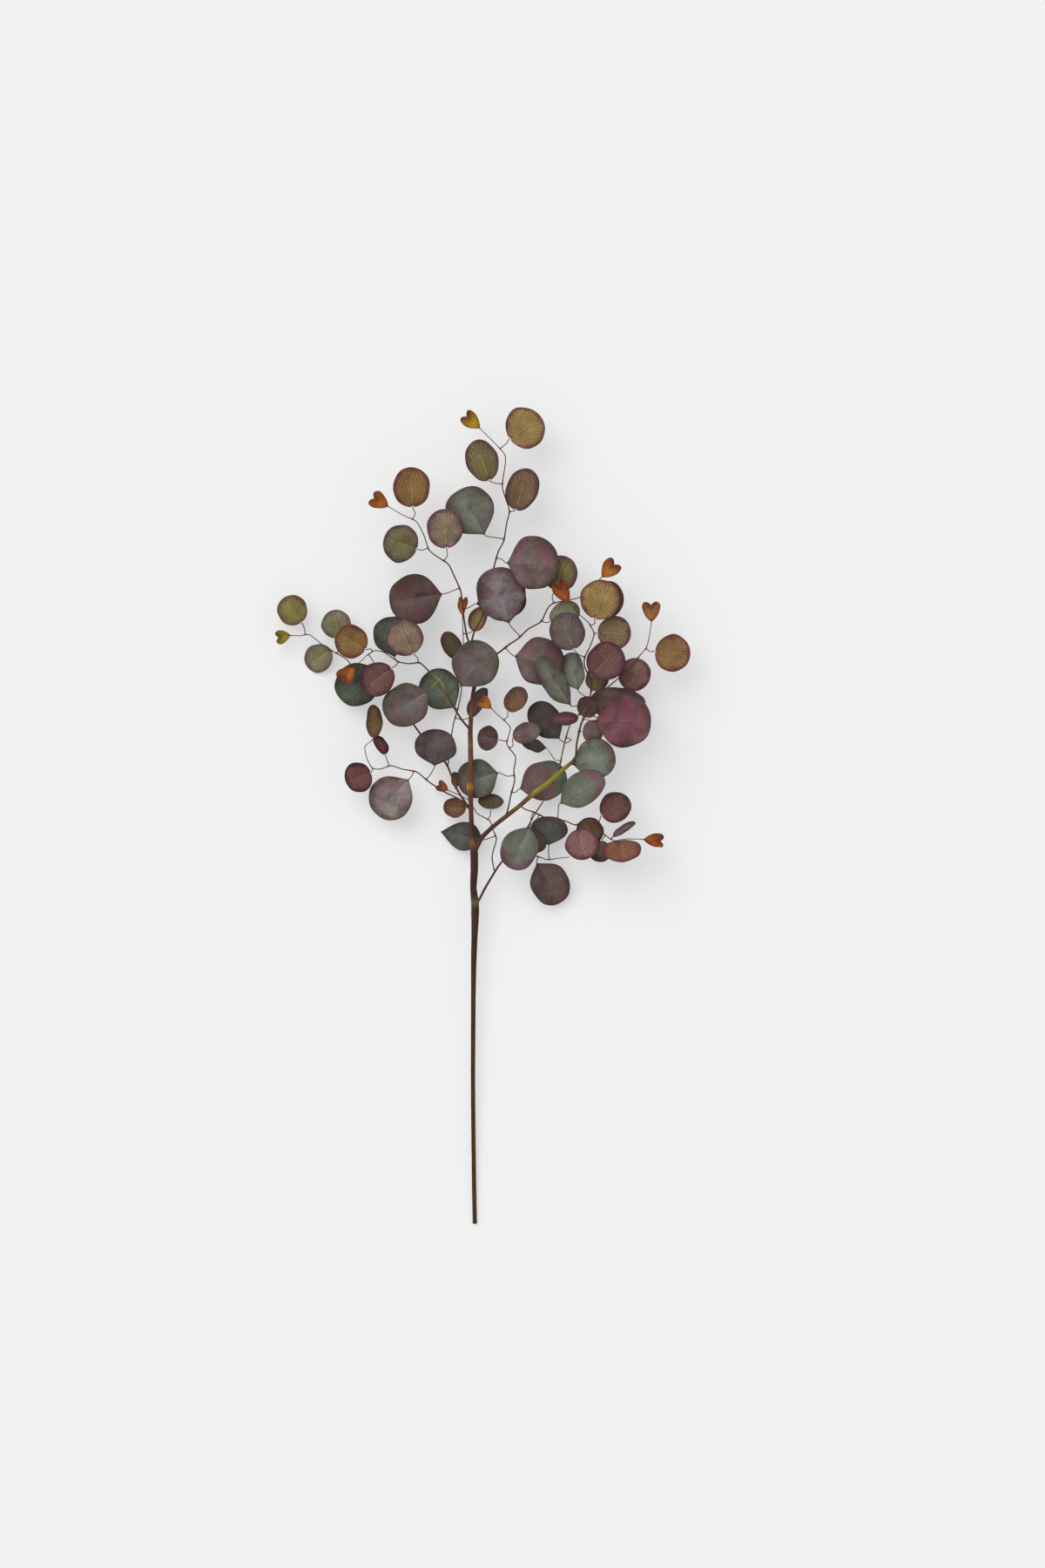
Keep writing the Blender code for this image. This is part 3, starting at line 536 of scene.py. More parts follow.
def share_field(name, description, default, most):
    """A setting that is a share or a strength."""
    return bpy.props.FloatProperty(
        name=name, description=description, default=default, min=0.0, max=most)


def count_field(name, description, default, least, most):
    """A setting that counts something."""
    return bpy.props.IntProperty(
        name=name, description=description, default=default, min=least, max=most)


class BladeSettings(bpy.types.PropertyGroup):
    """How fine the leaf blades are, and their relief."""

    columns: count_field("Columns", "Faces across a blade", 18, 4, 40)
    rows: count_field("Rows", "Faces from the base of a blade to its tip", 30, 6, 60)
    thickness: length_field("Thickness", "Thickness of a blade", 0.00055)
    groove: length_field("Groove", "Depth of the midrib's groove", 0.0005)
    ripple: length_field("Ripple", "Height of the fine ripple of the rim", 0.0005)
    uneven: share_field("Uneven", "How far the rim swings in and out", 0.028, 0.1)
    stain: colour_field("Base Stain", "Colour of the blade at its stalk", (111, 63, 70))


class TwigSettings(bpy.types.PropertyGroup):
    """How fine the twigs and leaf stalks are."""

    step: length_field("Step", "Distance between the rings of a twig", 0.0022)
    sides: count_field("Sides", "Sides of a twig", 10, 5, 32)
    swelling: share_field("Swelling", "Growth of the radius at a joint of a twig", 0.45, 2.0)
    rough: share_field("Rough", "Unevenness of the radius", 0.08, 0.5)
    dark: colour_field("Dark", "Darkest colour along a twig", (56, 32, 32))
    pale: colour_field("Pale", "Palest colour along a twig", (100, 64, 48))
    stalk: colour_field("Stalk", "Colour of the leaf stalks", (92, 54, 48))


class WoodSettings(bpy.types.PropertyGroup):
    """How fine the stem and the thick branch are."""

    step: length_field("Step", "Distance between the rings of the stem", 0.002)
    sides: count_field("Sides", "Sides of the stem", 28, 8, 64)
    ridges: share_field("Ridges", "Depth of the bark's ridges, as a share of the radius", 0.05, 0.3)


class StageSettings(bpy.types.PropertyGroup):
    """The surface, the light and the camera."""

    floor_size: length_field("Floor Size", "Width of the pale surface", 12.0)
    floor_colour: colour_field("Floor Colour", "Colour of the surface", (188, 188, 188))
    sky: share_field("Sky", "Strength of the even light from all round", 0.6, 10.0)
    lamp: share_field("Lamp", "Strength of the broad lamp", 1.4, 10.0)
    frame_height: length_field("Frame Height", "Height of the picture on the surface", 1.8)
    camera_height: length_field("Camera Height", "Height of the camera above the leaves", 10.0)


def place(spot):
    """The point of the row frame, in metres, for a place on the plan sheet."""
    across, down, up = spot
    return Vector((across - SHEET_MIDDLE[0], SHEET_MIDDLE[1] - down, up)) * MM


def blend(first, second, share):
    """A share of the way from one list of numbers to another."""
    return [a + (b - a) * share for a, b in zip(first, second)]


def tint_along(table, down):
    """The linear colour of a table of (how far along the sheet, colour) at a distance."""
    if down <= table[0][0]:
        return linear(table[0][1])
    for (start, first), (end, second) in zip(table, table[1:]):
        if down <= end:
            return linear(blend(first, second, (down - start) / (end - start)))
    return linear(table[-1][1])


def with_spots(colour, point):
    """A linear colour with the nearby spots of the wood blended in, for a point in metres."""
    across = point.x / MM + SHEET_MIDDLE[0]
    down = SHEET_MIDDLE[1] - point.y / MM
    for (x, y), reach, spot in WOOD_SPOTS:
        away = math.hypot(across - x, down - y) / reach
        colour = blend(colour, linear(spot), math.exp(-away * away))
    return colour


class Wire:
    """A value of a node tree that works in sums as a number does."""

    def __init__(self, graph, socket):
        self.graph = graph
        self.socket = socket

    def math(self, operation, *others):
        return self.graph.node("ShaderNodeMath", [self, *others], operation=operation)

    def __add__(self, other):
        return self.math("ADD", other)

    __radd__ = __add__

    def __sub__(self, other):
        return self.math("SUBTRACT", other)

    def __rsub__(self, other):
        return self.graph.node("ShaderNodeMath", [other, self], operation="SUBTRACT")

    def __mul__(self, other):
        return self.math("MULTIPLY", other)

    __rmul__ = __mul__

    def __truediv__(self, other):
        return self.math("DIVIDE", other)

    def __rtruediv__(self, other):
        return self.graph.node("ShaderNodeMath", [other, self], operation="DIVIDE")

    def __abs__(self):
        return self.math("ABSOLUTE")

    def ramp(self, start, end):
        """Nothing before start, one after end, and a smooth rise between them."""
        return self.graph.node("ShaderNodeMapRange", [self, start, end, 0.0, 1.0],
                               interpolation_type="SMOOTHSTEP")


class Graph:
    """A new material whose nodes are made by calls that return wires."""

    def __init__(self, name):
        self.material = bpy.data.materials.new(name)
        self.material.use_nodes = True
        self.tree = self.material.node_tree
        self.shader = self.tree.nodes["Principled BSDF"]

    def connect(self, value, socket):
        if isinstance(value, Wire):
            self.tree.links.new(value.socket, socket)
        else:
            socket.default_value = value

    def node(self, kind, inputs=(), output=0, **settings):
        """A node of any kind, with its inputs by place or by name."""
        made = self.tree.nodes.new(kind)
        for name, value in settings.items():
            setattr(made, name, value)
        named = inputs.items() if isinstance(inputs, dict) else enumerate(inputs)
        for key, value in named:
            self.connect(value, made.inputs[key])
        return Wire(self, made.outputs[output])

    def attribute(self, name, output="Vector"):
        return self.node("ShaderNodeAttribute", output=output, attribute_name=name)

    def mix(self, factor, first, second, blend_type="MIX"):
        """Two colours mixed by a factor."""
        made = self.tree.nodes.new("ShaderNodeMix")
        made.data_type = "RGBA"
        made.blend_type = blend_type
        sockets = {s.identifier: s for s in made.inputs}
        self.connect(factor, sockets["Factor_Float"])
        self.connect(first, sockets["A_Color"])
        self.connect(second, sockets["B_Color"])
        return Wire(self, next(s for s in made.outputs if s.identifier == "Result_Color"))

    def noise(self, vector, scale, detail=3.0):
        return self.node("ShaderNodeTexNoise", {
            "Vector": vector, "Scale": scale, "Detail": detail})

    def vector(self, x, y, z):
        return self.node("ShaderNodeCombineXYZ", [x, y, z])

    def scaled(self, vector, factor):
        return self.node("ShaderNodeVectorMath", {0: vector, "Scale": factor},
                         operation="SCALE")

    def parts(self, vector):
        split = self.tree.nodes.new("ShaderNodeSeparateXYZ")
        self.connect(vector, split.inputs[0])
        return [Wire(self, s) for s in split.outputs]

    def finish(self, colour, roughness, height=None, distance=0.0):
        """Sets the surface's colour, roughness and small relief."""
        self.shader.inputs["Specular IOR Level"].default_value = GLOSS
        self.connect(colour, self.shader.inputs["Base Color"])
        self.connect(roughness, self.shader.inputs["Roughness"])
        if height is not None:
            bump = self.node("ShaderNodeBump", {"Height": height, "Distance": distance},
                             output="Normal")
            self.connect(bump, self.shader.inputs["Normal"])
        return self.material


def grey(share):
    """A colour that darkens what it is multiplied with to a share."""
    return (share, share, share, 1.0)


def leaf_fields(graph):
    """What a blade's vertices carry, and the noises and streaks that its layers share."""
    leaf = SimpleNamespace(plane=graph.attribute("plane"))
    leaf.x, leaf.y, leaf.seed = graph.parts(leaf.plane)
    u, leaf.s, leaf.edge = graph.parts(graph.attribute("spot"))
    # Shares of the fine net, of painted shade on one half and of the painted highlight in the middle.
    leaf.net, leaf.half, leaf.pale = graph.parts(graph.attribute("traits"))
    leaf.tip = graph.attribute("ground", "Alpha")
    leaf.broad = 1.0 - leaf.net
    leaf.across = abs(u)
    leaf.side = abs(leaf.x)
    leaf.cloud = graph.noise(leaf.plane, CLOUD_SCALE, 4.0)
    leaf.drift = leaf.cloud - 0.5
    leaf.speck = graph.noise(leaf.plane, SPECK_SCALE)
    leaf.mottle = graph.noise(leaf.plane, FLECK_SCALE, 2.0)

    # Streaks that run out from the midrib the way that the side veins do.
    leaf.rise = leaf.y - leaf.side * VEIN_SLOPE
    out = leaf.side + leaf.y * 0.4
    leaf.streak = graph.noise(graph.vector(leaf.rise * 0.75, out * 0.09, leaf.seed), 1.0)
    leaf.fine = graph.noise(graph.vector(leaf.rise * 1.8, out * 0.25, leaf.seed), 1.0, 2.0)
    return leaf


def leaf_ground(graph, leaf, ground, highlight_and_patch, rim):
    """The blade's colour without its veins, and the share of its painted highlight in the middle."""
    s, drift, streak = leaf.s, leaf.drift, leaf.streak

    # The rim's colour reaches in unevenly, and the middle has a painted highlight.
    reach = leaf.edge / RIM_DEPTH + drift * 2.4 + (streak - 0.5) * 0.5
    reach = reach + (0.6 - s) * (leaf.tip * 9.0 + 1.2)
    colour = graph.mix(reach.ramp(1.2, 0.1) * SHOWS["rim"], ground, rim)
    painted_highlight = (leaf.across + drift * 1.2 + (0.5 - streak) * 1.2).ramp(0.75, -0.1)
    painted_highlight = painted_highlight * s.ramp(0.05, 0.35) * s.ramp(0.95, 0.5) * leaf.pale * 1.15
    colour = graph.mix(painted_highlight, colour, highlight_and_patch)

    # Zones of olive and plum, painted shade in the hollows of the relief and olive flecks, on broad
    # leaves alone.
    zone = graph.noise(leaf.plane, PATCH_SCALE, 2.0)
    patch = zone.ramp(0.45, 0.62) * (1.0 - leaf.tip) * leaf.broad
    colour = graph.mix(patch * SHOWS["patch"], colour, highlight_and_patch)
    colour = graph.mix(patch * SHOWS["olive"], colour, OLIVE_ZONE, "MULTIPLY")
    plum = zone.ramp(0.52, 0.4) * leaf.broad
    colour = graph.mix(plum * SHOWS["plum"], colour, PLUM_ZONE, "MULTIPLY")
    # Painted shade: darker where the cloud noise, which also raises the relief, is low.
    painted_hollow_shade = (0.5 - leaf.cloud).ramp(-0.02, 0.16) * leaf.broad * (1.0 - leaf.tip)
    colour = graph.mix(painted_hollow_shade * SHOWS["painted_hollow_shade"], colour, rim)
    fleck = leaf.mottle.ramp(0.5, 0.62) * leaf.broad
    colour = graph.mix(fleck * SHOWS["fleck"], colour, OLIVE_FLECK, "MULTIPLY")
    return colour, painted_highlight


def side_veins(graph, leaf):
    """Side veins in pairs, on broad leaves."""
    waver = (graph.noise(leaf.plane, WAVER_SCALE, 2.0) - 0.5) * 1.6
    along = leaf.rise / VEIN_SPACING + waver
    vein = abs(along.math("FRACT") - 0.5).ramp(0.06, 0.01)
    return vein * leaf.broad * leaf.across.ramp(0.85, 0.2) * leaf.s.ramp(0.95, 0.5)


def fine_net(graph, leaf, band):
    """The net of small cells in arcs round the base: its lines and its darker pits."""
    drop = leaf.y + NET_CENTRE
    radius = (leaf.x * leaf.x + drop * drop).math("SQRT")
    bearing = leaf.x.math("ARCTAN2", drop)
    sway = (graph.noise(leaf.plane, WAVER_SCALE, 2.0) - 0.5) * 2.2
    arcs = graph.vector(
        radius / NET_CELL + sway, bearing * (NET_ROUND / NET_CELL) + sway, leaf.seed)
    cells = graph.node("ShaderNodeTexVoronoi", {
        "Vector": arcs, "Scale": 1.0, "Randomness": NET_RANDOM}, output="Distance",
        feature="DISTANCE_TO_EDGE")
    field = leaf.net * (leaf.edge / band + leaf.drift * 1.5).ramp(0.7, 2.3)
    return cells.ramp(0.18, 0.03) * field, cells.ramp(0.15, 0.42) * field


def leaf_material(settings):
    """The looks of all the blades, from what their vertices carry."""
    graph = Graph("leaf_blade")
    leaf = leaf_fields(graph)
    x, s, edge, drift = leaf.x, leaf.s, leaf.edge, leaf.drift
    ground, highlight_and_patch, rim, line = (graph.attribute(name, "Color") for name in BLADE_TINTS)
    colour, painted_highlight = leaf_ground(graph, leaf, ground, highlight_and_patch, rim)
    band = leaf.net * 2.4 + 0.8
    vein = side_veins(graph, leaf)
    net, pit = fine_net(graph, leaf, band)

    # The midrib, which fades before the tip, and painted shade in the strip beside it, on one half.
    rib = (leaf.side + s * 0.25).ramp(0.75, 0.25) * s.ramp(0.8, 0.4) * s.ramp(0.0, 0.06)
    shade = (x * 2.0 + 0.4).ramp(0.0, 1.0) * leaf.across.ramp(0.62, 0.0)
    shade = shade * (s + drift * 0.4).ramp(0.8, 0.3) * leaf.half
    colour = graph.mix(shade, colour, SHADED_HALF, "MULTIPLY")
    colour = graph.mix(pit * SHOWS["pit"], colour, grey(0.5), "MULTIPLY")
    lines = (vein * SHOWS["vein"] + net * SHOWS["net"]).math("MINIMUM", 1.0)
    colour = graph.mix(lines, colour, line)
    colour = graph.mix(rib * SHOWS["rib"], colour, graph.scaled(line, 1.25))

    # Painted shade along the border, a smooth rim band on round leaves, and a thin dark edge on all.
    painted_shade_border = (edge / PAINTED_SHADE_DEPTH + drift).ramp(1.0, 0.0)
    colour = graph.mix(painted_shade_border * SHOWS["painted_shade_border"], colour, grey(0.45), "MULTIPLY")
    smooth = (edge / band + drift).ramp(1.5, 0.3) * leaf.net
    colour = graph.mix(smooth * SHOWS["band"], colour, rim)
    colour = graph.mix(edge.ramp(1.0, 0.1) * SHOWS["edge"], colour, grey(0.3), "MULTIPLY")
    colour = graph.mix(s.ramp(0.12, 0.0) * SHOWS["stain"], colour, (*settings.stain, 1.0))

    # Unevenness of tone, gloss and relief.
    speck = leaf.speck - 0.5
    tone = 1.0 + drift * 1.2 + speck * 1.1 + (leaf.mottle - 0.5) * 0.35
    tone = tone + (leaf.fine - 0.5) * leaf.broad * 0.5
    height = net * 0.4 + vein * 0.3 - rib * 0.7
    height = height + leaf.speck * 0.4 + leaf.streak * 0.5 + leaf.cloud * 2.0
    roughness = 0.5 + speck * 0.2 - painted_highlight * 0.08
    return graph.finish(graph.scaled(colour, tone), roughness, height, LEAF_RELIEF)


def wood_material(name, streak, relief, patches):
    """Bark whose colour the vertices carry, with fine streaks along it."""
    graph = Graph(name)
    grain = graph.attribute("grain")
    bark = graph.attribute("bark", "Color")
    streaks = graph.noise(grain, streak, 4.0)
    cloud = graph.noise(grain, streak * 0.15, 3.0)
    warm = graph.noise(grain, streak * 0.4, 3.0).ramp(0.47, 0.6)
    dark = graph.noise(grain, streak * 0.33, 3.0).ramp(0.5, 0.38)
    colour = graph.mix(warm * patches, bark, WARM_BARK, "MULTIPLY")
    colour = graph.mix(dark * patches * 0.7, colour, DARK_BARK, "MULTIPLY")
    tone = (streaks - 0.5) * 1.2 + (cloud - 0.5) * 0.8 + 1.0
    return graph.finish(graph.scaled(colour, tone), 0.6 + (streaks - 0.5) * 0.4, streaks, relief)


def floor_material(settings):
    """Pale and a little bright of itself, so that the shadows on it are faint."""
    graph = Graph("floor")
    graph.shader.inputs["Emission Color"].default_value = (1.0, 1.0, 1.0, 1.0)
    graph.shader.inputs["Emission Strength"].default_value = FLOOR_GLOW
    return graph.finish((*settings.floor_colour, 1.0), 0.9)


def outline(kind, s):
    """Half width, reach of the rim and reach of the midrib, as shares, at s from base to tip."""
    even = (1.0 - math.cos(math.pi * s)) / 2.0
    half = max(math.sin(math.pi * s), 0.0)
    if kind == "spade":
        fill = 1.0 - math.exp(-(even / SPADE_SHOULDER) ** SPADE_FILL)
        return half ** (SPADE_BLUNT if s > 0.5 else 1.0) * fill, even, even
    if kind == "point":
        fill = 1.0 - math.exp(-(even / SPADE_SHOULDER) ** SPADE_FILL)
        tip = 1.0 - math.exp(-(1.0 - even) / POINT_TIP)
        return half * fill * tip, even, even
    if kind == "round":
        rib = ROUND_NOTCH + (1.0 - ROUND_NOTCH) * even
        return half, (even if s > 0.0 else rib), rib
    past = max(s - HEART_LOBE, 0.0) / (1.0 - HEART_LOBE)
    rim = math.sin(math.pi / 2.0 * min(s / HEART_LOBE, 1.0)) - HEART_NOTCH * past * past
    half = max(math.sin(math.pi * s ** HEART_LOBE), 0.0)
    return half, rim, (1.0 - HEART_NOTCH) * s


def blade_point(kind, u, s, length, width, phase):
    """A point of the blade's upper face in its own axes, in millimetres, for u across it."""
    half, rim, rib = outline(kind, s)
    x = u * half * width / 2.0
    y = (rib + abs(u) * (rim - rib)) * length
    wave = WAVE[kind] * width * u * u * half
    z = FOLD * abs(x) - DROOP * y * y / length
    z += wave * math.sin(2.0 * math.pi * WAVES_ALONG * s + phase + (u > 0.0))
    return Vector((x, y, z))


def leaf_axes(base, heading, pitch, roll):
    """The matrix from a blade's own axes, in millimetres, to the row frame."""
    heading, pitch, roll = (math.radians(a) for a in (heading, pitch, roll))
    forward = Vector((math.cos(heading) * math.cos(pitch),
                      math.sin(heading) * math.cos(pitch), math.sin(pitch)))
    level = Vector((math.sin(heading), -math.cos(heading), 0.0))
    side = level * math.cos(roll) + level.cross(forward) * math.sin(roll)
    turn = Matrix((side, forward, side.cross(forward))).transposed().to_4x4()
    return Matrix.Translation(place(base)) @ turn @ Matrix.Scale(MM, 4)


def nearest_on(twigs, spot):
    """The place on the twigs' middle lines that is nearest to a spot, seen from above."""
    best = None
    for points, _, _ in twigs:
        for a, b in zip(points, points[1:]):
            a, b = Vector(a), Vector(b)
            run = (b - a).to_2d()
            share = (Vector(spot).to_2d() - a.to_2d()).dot(run) / run.length_squared
            found = a.lerp(b, min(max(share, 0.0), 1.0))
            away = (found.to_2d() - Vector(spot).to_2d()).length
            if best is None or away < best[0]:
                best = (away, found)
    return best[1]


def empty_mesh(vectors, tints):
    """A bmesh with the layers that a material reads."""
    bm = bmesh.new()
    for name in vectors:
        bm.verts.layers.float_vector.new(name)
    for name in tints:
        bm.verts.layers.float_color.new(name)
    return bm


def empty_blade():
    return empty_mesh(BLADE_VECTORS, BLADE_TINTS)


def empty_bark():
    return empty_mesh(["grain"], ["bark"])


def blade(kind, length, width, phase, axes, look, number, settings):
    """A leaf blade as a closed thin sheet with a midrib groove and a rippled rim."""
    bm = empty_blade()
    groove, ripple = settings.groove / MM, settings.ripple / MM
    bmesh.ops.create_grid(
        bm, x_segments=settings.columns, y_segments=settings.rows, size=1.0)
    vectors = bm.verts.layers.float_vector
    colours = bm.verts.layers.float_color
    # The look also gives the shares of painted shade on one half and of painted highlight in the
    # middle.
    *tints, net, painted_shade_share, painted_highlight_share, tip = LOOKS[look]
    tints = [(*linear(tint), tip) for tint in tints]
    for vert in bm.verts:
        u, s = vert.co.x, (vert.co.y + 1.0) / 2.0
        spot = blade_point(kind, u, s, length, width, phase)
        half, rim, _ = outline(kind, s)
        edge = min((1.0 - abs(u)) * half * width / 2.0, max(1.0 - rim, 0.0) * length)
        turn = 2.0 * phase + SWING_TURN * (u > 0.0)
        slow = math.sin(RIM_SWINGS[0] * s + turn)
        quick = math.sin(RIM_SWINGS[1] * s + 3.0 * turn)
        spot.x *= 1.0 + settings.uneven * (slow + 0.5 * quick) * u * u
        swell = math.sin(RIM_RIPPLES * s + 3.0 * phase + RIPPLE_TURN * (u > 0.0))
        spot.z += ripple * swell * u ** 4 * half * width / RIPPLE_WIDTH
        spot.z -= groove * (1.0 - s) * math.exp(-abs(spot.x) / GROOVE_WIDTH)
        vert.co = spot
        vert[vectors["plane"]] = (spot.x, spot.y, SEED_STEP * number)
        vert[vectors["spot"]] = (u, s, edge)
        vert[vectors["traits"]] = (net, painted_shade_share, painted_highlight_share)
        for name, tint in zip(BLADE_TINTS, tints):
            vert[colours[name]] = tint
    bmesh.ops.remove_doubles(bm, verts=bm.verts[:], dist=TOUCHING)
    extruded = bmesh.ops.extrude_face_region(bm, geom=bm.faces[:])["geom"]
    lower = {v for v in extruded if isinstance(v, bmesh.types.BMVert)}
    bmesh.ops.translate(bm, verts=list(lower), vec=(0.0, 0.0, -settings.thickness / MM))
    bmesh.ops.transform(bm, matrix=axes, verts=bm.verts[:])
    for vert in bm.verts:
        lowest = 0.0 if vert in lower else settings.thickness * KEPT_THICKNESS
        vert.co.z = max(vert.co.z, lowest)
    for face in bm.faces:
        face.smooth = True
    return bm


def smooth_line(points, step):
    """Points at about a step's distance on a smooth curve through the points, in metres."""
    ends = [points[0] * 2.0 - points[1], *points, points[-1] * 2.0 - points[-2]]
    line = [points[0]]
    for before, start, end, after in zip(ends, ends[1:], ends[2:], ends[3:]):
        count = max(1, round((end - start).length / step))
        lengths = [(b - a).length for a, b in ((before, start), (start, end), (end, after))]
        leave = (end - start + (start - before) * lengths[1] / lengths[0]) * BEND
        arrive = (end - start + (after - end) * lengths[1] / lengths[2]) * BEND
        for i in range(1, count + 1):
            t = i / count
            line.append(start * (2 * t ** 3 - 3 * t ** 2 + 1) + leave * (t ** 3 - 2 * t ** 2 + t)
                        + end * (3 * t ** 2 - 2 * t ** 3) + arrive * (t ** 3 - t ** 2))
    return line


def walked(points):
    """The distance in millimetres from the first point to each of them."""
    total = [0.0]
    for a, b in zip(points, points[1:]):
        total.append(total[-1] + (b - a).length / MM)
    return total


def value_at(distances, values, distance):
    """The value at a distance, between the values at known distances."""
    for d0, d1, v0, v1 in zip(distances, distances[1:], values, values[1:]):
        if distance <= d1:
            return v0 + (v1 - v0) * (distance - d0) / (d1 - d0)
    return values[-1]


def tube(points, radii, sides, tint, number, shape=None):
    """A closed round tube along points, with bark layers; shape changes a radius."""
    bm = empty_bark()
    grain = bm.verts.layers.float_vector["grain"]
    bark = bm.verts.layers.float_color["bark"]
    last = len(points) - 1
    bmesh.ops.create_grid(bm, x_segments=sides, y_segments=last, size=1.0)
    turns = []
    across = None
    for i in range(last + 1):
        along = (points[min(i + 1, last)] - points[max(i - 1, 0)]).normalized()
        if across is None:
            across = along.orthogonal().normalized()
        across = (across - along * across.dot(along)).normalized()
        turns.append((across, along.cross(across)))
    distances = walked(points)
    for vert in bm.verts:
        i = round((vert.co.y + 1.0) / 2.0 * last)
        angle = (vert.co.x + 1.0) * math.pi
        first, second = turns[i]
        out = first * math.cos(angle) + second * math.sin(angle)
        radius = radii[i] * (shape(distances[i], out) if shape else 1.0)
        vert.co = points[i] + out * radius * MM
        vert[grain] = (distances[i] * GRAIN_STRETCH, radius * out.x + BARK_SEED * number,
                       radius * out.z)
        vert[bark] = (*tint(points[i]), 1.0)
    bmesh.ops.remove_doubles(bm, verts=bm.verts[:], dist=TOUCHING * MM)
    rims = [e for e in bm.edges if e.is_boundary]
    caps = bmesh.ops.holes_fill(bm, edges=rims, sides=0)["faces"]
    for face in bm.faces:
        face.smooth = face not in caps
    return bm


def bare_end(bm):
    """Shows pale wood inside a ring of bark at the cut end, which is lowest on the sheet."""
    bark = bm.verts.layers.float_color["bark"]
    cap = min((f for f in bm.faces if not f.smooth), key=lambda f: f.calc_center_median().y)
    for thickness, tint in CUT_RINGS:
        bmesh.ops.inset_individual(bm, faces=[cap], thickness=thickness * MM, depth=0.0)
        for vert in cap.verts:
            vert[bark] = (*linear(tint), 1.0)


def joined(meshes, whole):
    """The empty bmesh, with all the others moved into it."""
    for bm in meshes:
        bmesh.ops.recalc_face_normals(bm, faces=bm.faces[:])
        for vert in bm.verts:
            vert.co.z = max(vert.co.z, 0.0)
        part = bpy.data.meshes.new("part")
        bm.to_mesh(part)
        bm.free()
        whole.from_mesh(part)
        bpy.data.meshes.remove(part)
    return whole


def show(bm, name, material, node):
    """Makes the piece an object that stands for its node, or for a part of it."""
    mesh = bpy.data.meshes.new(name)
    bm.to_mesh(mesh)
    bm.free()
    mesh.materials.append(material)
    piece = bpy.data.objects.new(name, mesh)
    bpy.context.scene.collection.objects.link(piece)
    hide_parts(node)
    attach(piece, "root")


def bark_named(name):
    """The bark of that name, which is made when it is first asked for."""
    return bpy.data.materials.get(name) or wood_material(name, *BARKS[name])


def blades_piece(name, leaves, looks, settings):
    """All the leaf blades of one spray."""
    meshes = []
    for i, (leaf, look) in enumerate(zip(leaves, looks)):
        kind, base, heading, length, width, pitch, roll, _ = leaf
        axes = leaf_axes(base, heading, pitch, roll)
        meshes.append(blade(kind, length, width, i * GOLDEN_ANGLE, axes, look, i + 1, settings))
    material = bpy.data.materials.get("leaf_blade") or leaf_material(settings)
    show(joined(meshes, empty_blade()), name + "_leaves", material, name)


def foot_of(leaf, twigs):
    """The point of a twig where a leaf's stalk leaves it."""
    _, base, *_, via = leaf
    return place(nearest_on(twigs, via[0] if via else base))


def stalk(leaf, phase, twigs, settings, number):
    """A leaf's stalk, from its twig to the blade and on as the rib below it."""
    kind, base, heading, length, width, pitch, roll, via = leaf
    axes = leaf_axes(base, heading, pitch, roll)
    under = []
    for s in UNDER_SHARES:
        spot = blade_point(kind, 0.0, s, length, width, phase)
        spot.z -= UNDER_DEPTH[0] - UNDER_DEPTH[1] * s
        under.append(axes @ spot)
    path = [foot_of(leaf, twigs)] + [place(p) for p in via] + [place(base)] + under
    path = [p for i, p in enumerate(path) if i == 0 or (p - path[i - 1]).length > MM]
    points = smooth_line(path, settings.step)
    distances = walked(points)
    end = distances[-1]
    free = end * STALK_FREE
    at_twig, at_blade = PETIOLE_RADII
    radii = [
        (at_twig * (1.0 + STALK_FLARE * math.exp(-d / FLARE_REACH)) if d < free
         else at_blade * (1.0 - STALK_TAPER * (d - free) / (end - free)))
        for d in distances]
    return tube(points, radii, STALK_SIDES, lambda p: with_spots(settings.stalk, p), number)


def bark_noise(distance, out, fineness, seed=0.0):
    """The noise of a bark at a distance along it, on the side that faces out."""
    along, around = fineness
    return noise.noise(Vector((distance * along, out.x * around + seed, out.z * around)))


def twig(points, first, last, joints, settings, number):
    """A twig that swells a little where its leaves stand."""
    line = smooth_line([place(p) for p in points], settings.step)
    distances = walked(line)
    radii = [TWIG_SHARE * (first + (last - first) * d / distances[-1]) for d in distances]
    for i, point in enumerate(line):
        near = min((point - joint).length / MM for joint in joints)
        radii[i] *= 1.0 + settings.swelling * math.exp(-(near / JOINT_REACH) ** 2)

    def shape(distance, out):
        return 1.0 + settings.rough * bark_noise(distance, out, TWIG_BUMPS, 9.0 * number)

    def tint(point):
        spot = point * TINT_FINENESS + Vector((0.0, 0.0, number))
        share = (noise.noise(spot) + 1.0) / 2.0
        return with_spots(blend(settings.dark, settings.pale, share), point)

    return tube(line, radii, settings.sides, tint, number, shape)


def twigs_piece(name, twigs, leaves, settings):
    """All the twigs and leaf stalks of one spray."""
    joints = [foot_of(leaf, twigs) for leaf in leaves]
    meshes = [twig(points, first, last, joints, settings, i)
              for i, (points, first, last) in enumerate(twigs)]
    meshes += [stalk(leaf, i * GOLDEN_ANGLE, twigs, settings, i + 5)
               for i, leaf in enumerate(leaves)]
    whole = joined(meshes, empty_bark())
    show(whole, name + "_twigs", bark_named("twig_skin"), name)


def wood_piece(name, line, tints, slot, settings, number):
    """The stem or the thick branch, with ridged bark."""
    path = [place(p) for p, _ in line]
    points = smooth_line(path, settings.step)
    distances = walked(points)
    known = walked(path)
    radii = [value_at(known, [r for _, r in line], d) for d in distances]

    def shape(distance, out):
        ridges = bark_noise(distance, out, BARK_RIDGES, 7.0 * number)
        return 1.0 + settings.ridges * (ridges + 0.6 * bark_noise(distance, out, BARK_LUMPS))

    def tint(point):
        return with_spots(tint_along(tints, SHEET_MIDDLE[1] - point.y / MM), point)

    bm = tube(points, radii, settings.sides, tint, number, shape)
    if name == "main_stem":
        bare_end(bm)
    bark = bark_named("stem_skin" if slot == "stem_bark" else "twig_skin")
    show(joined([bm], empty_bark()), name + "_bark", bark, name)


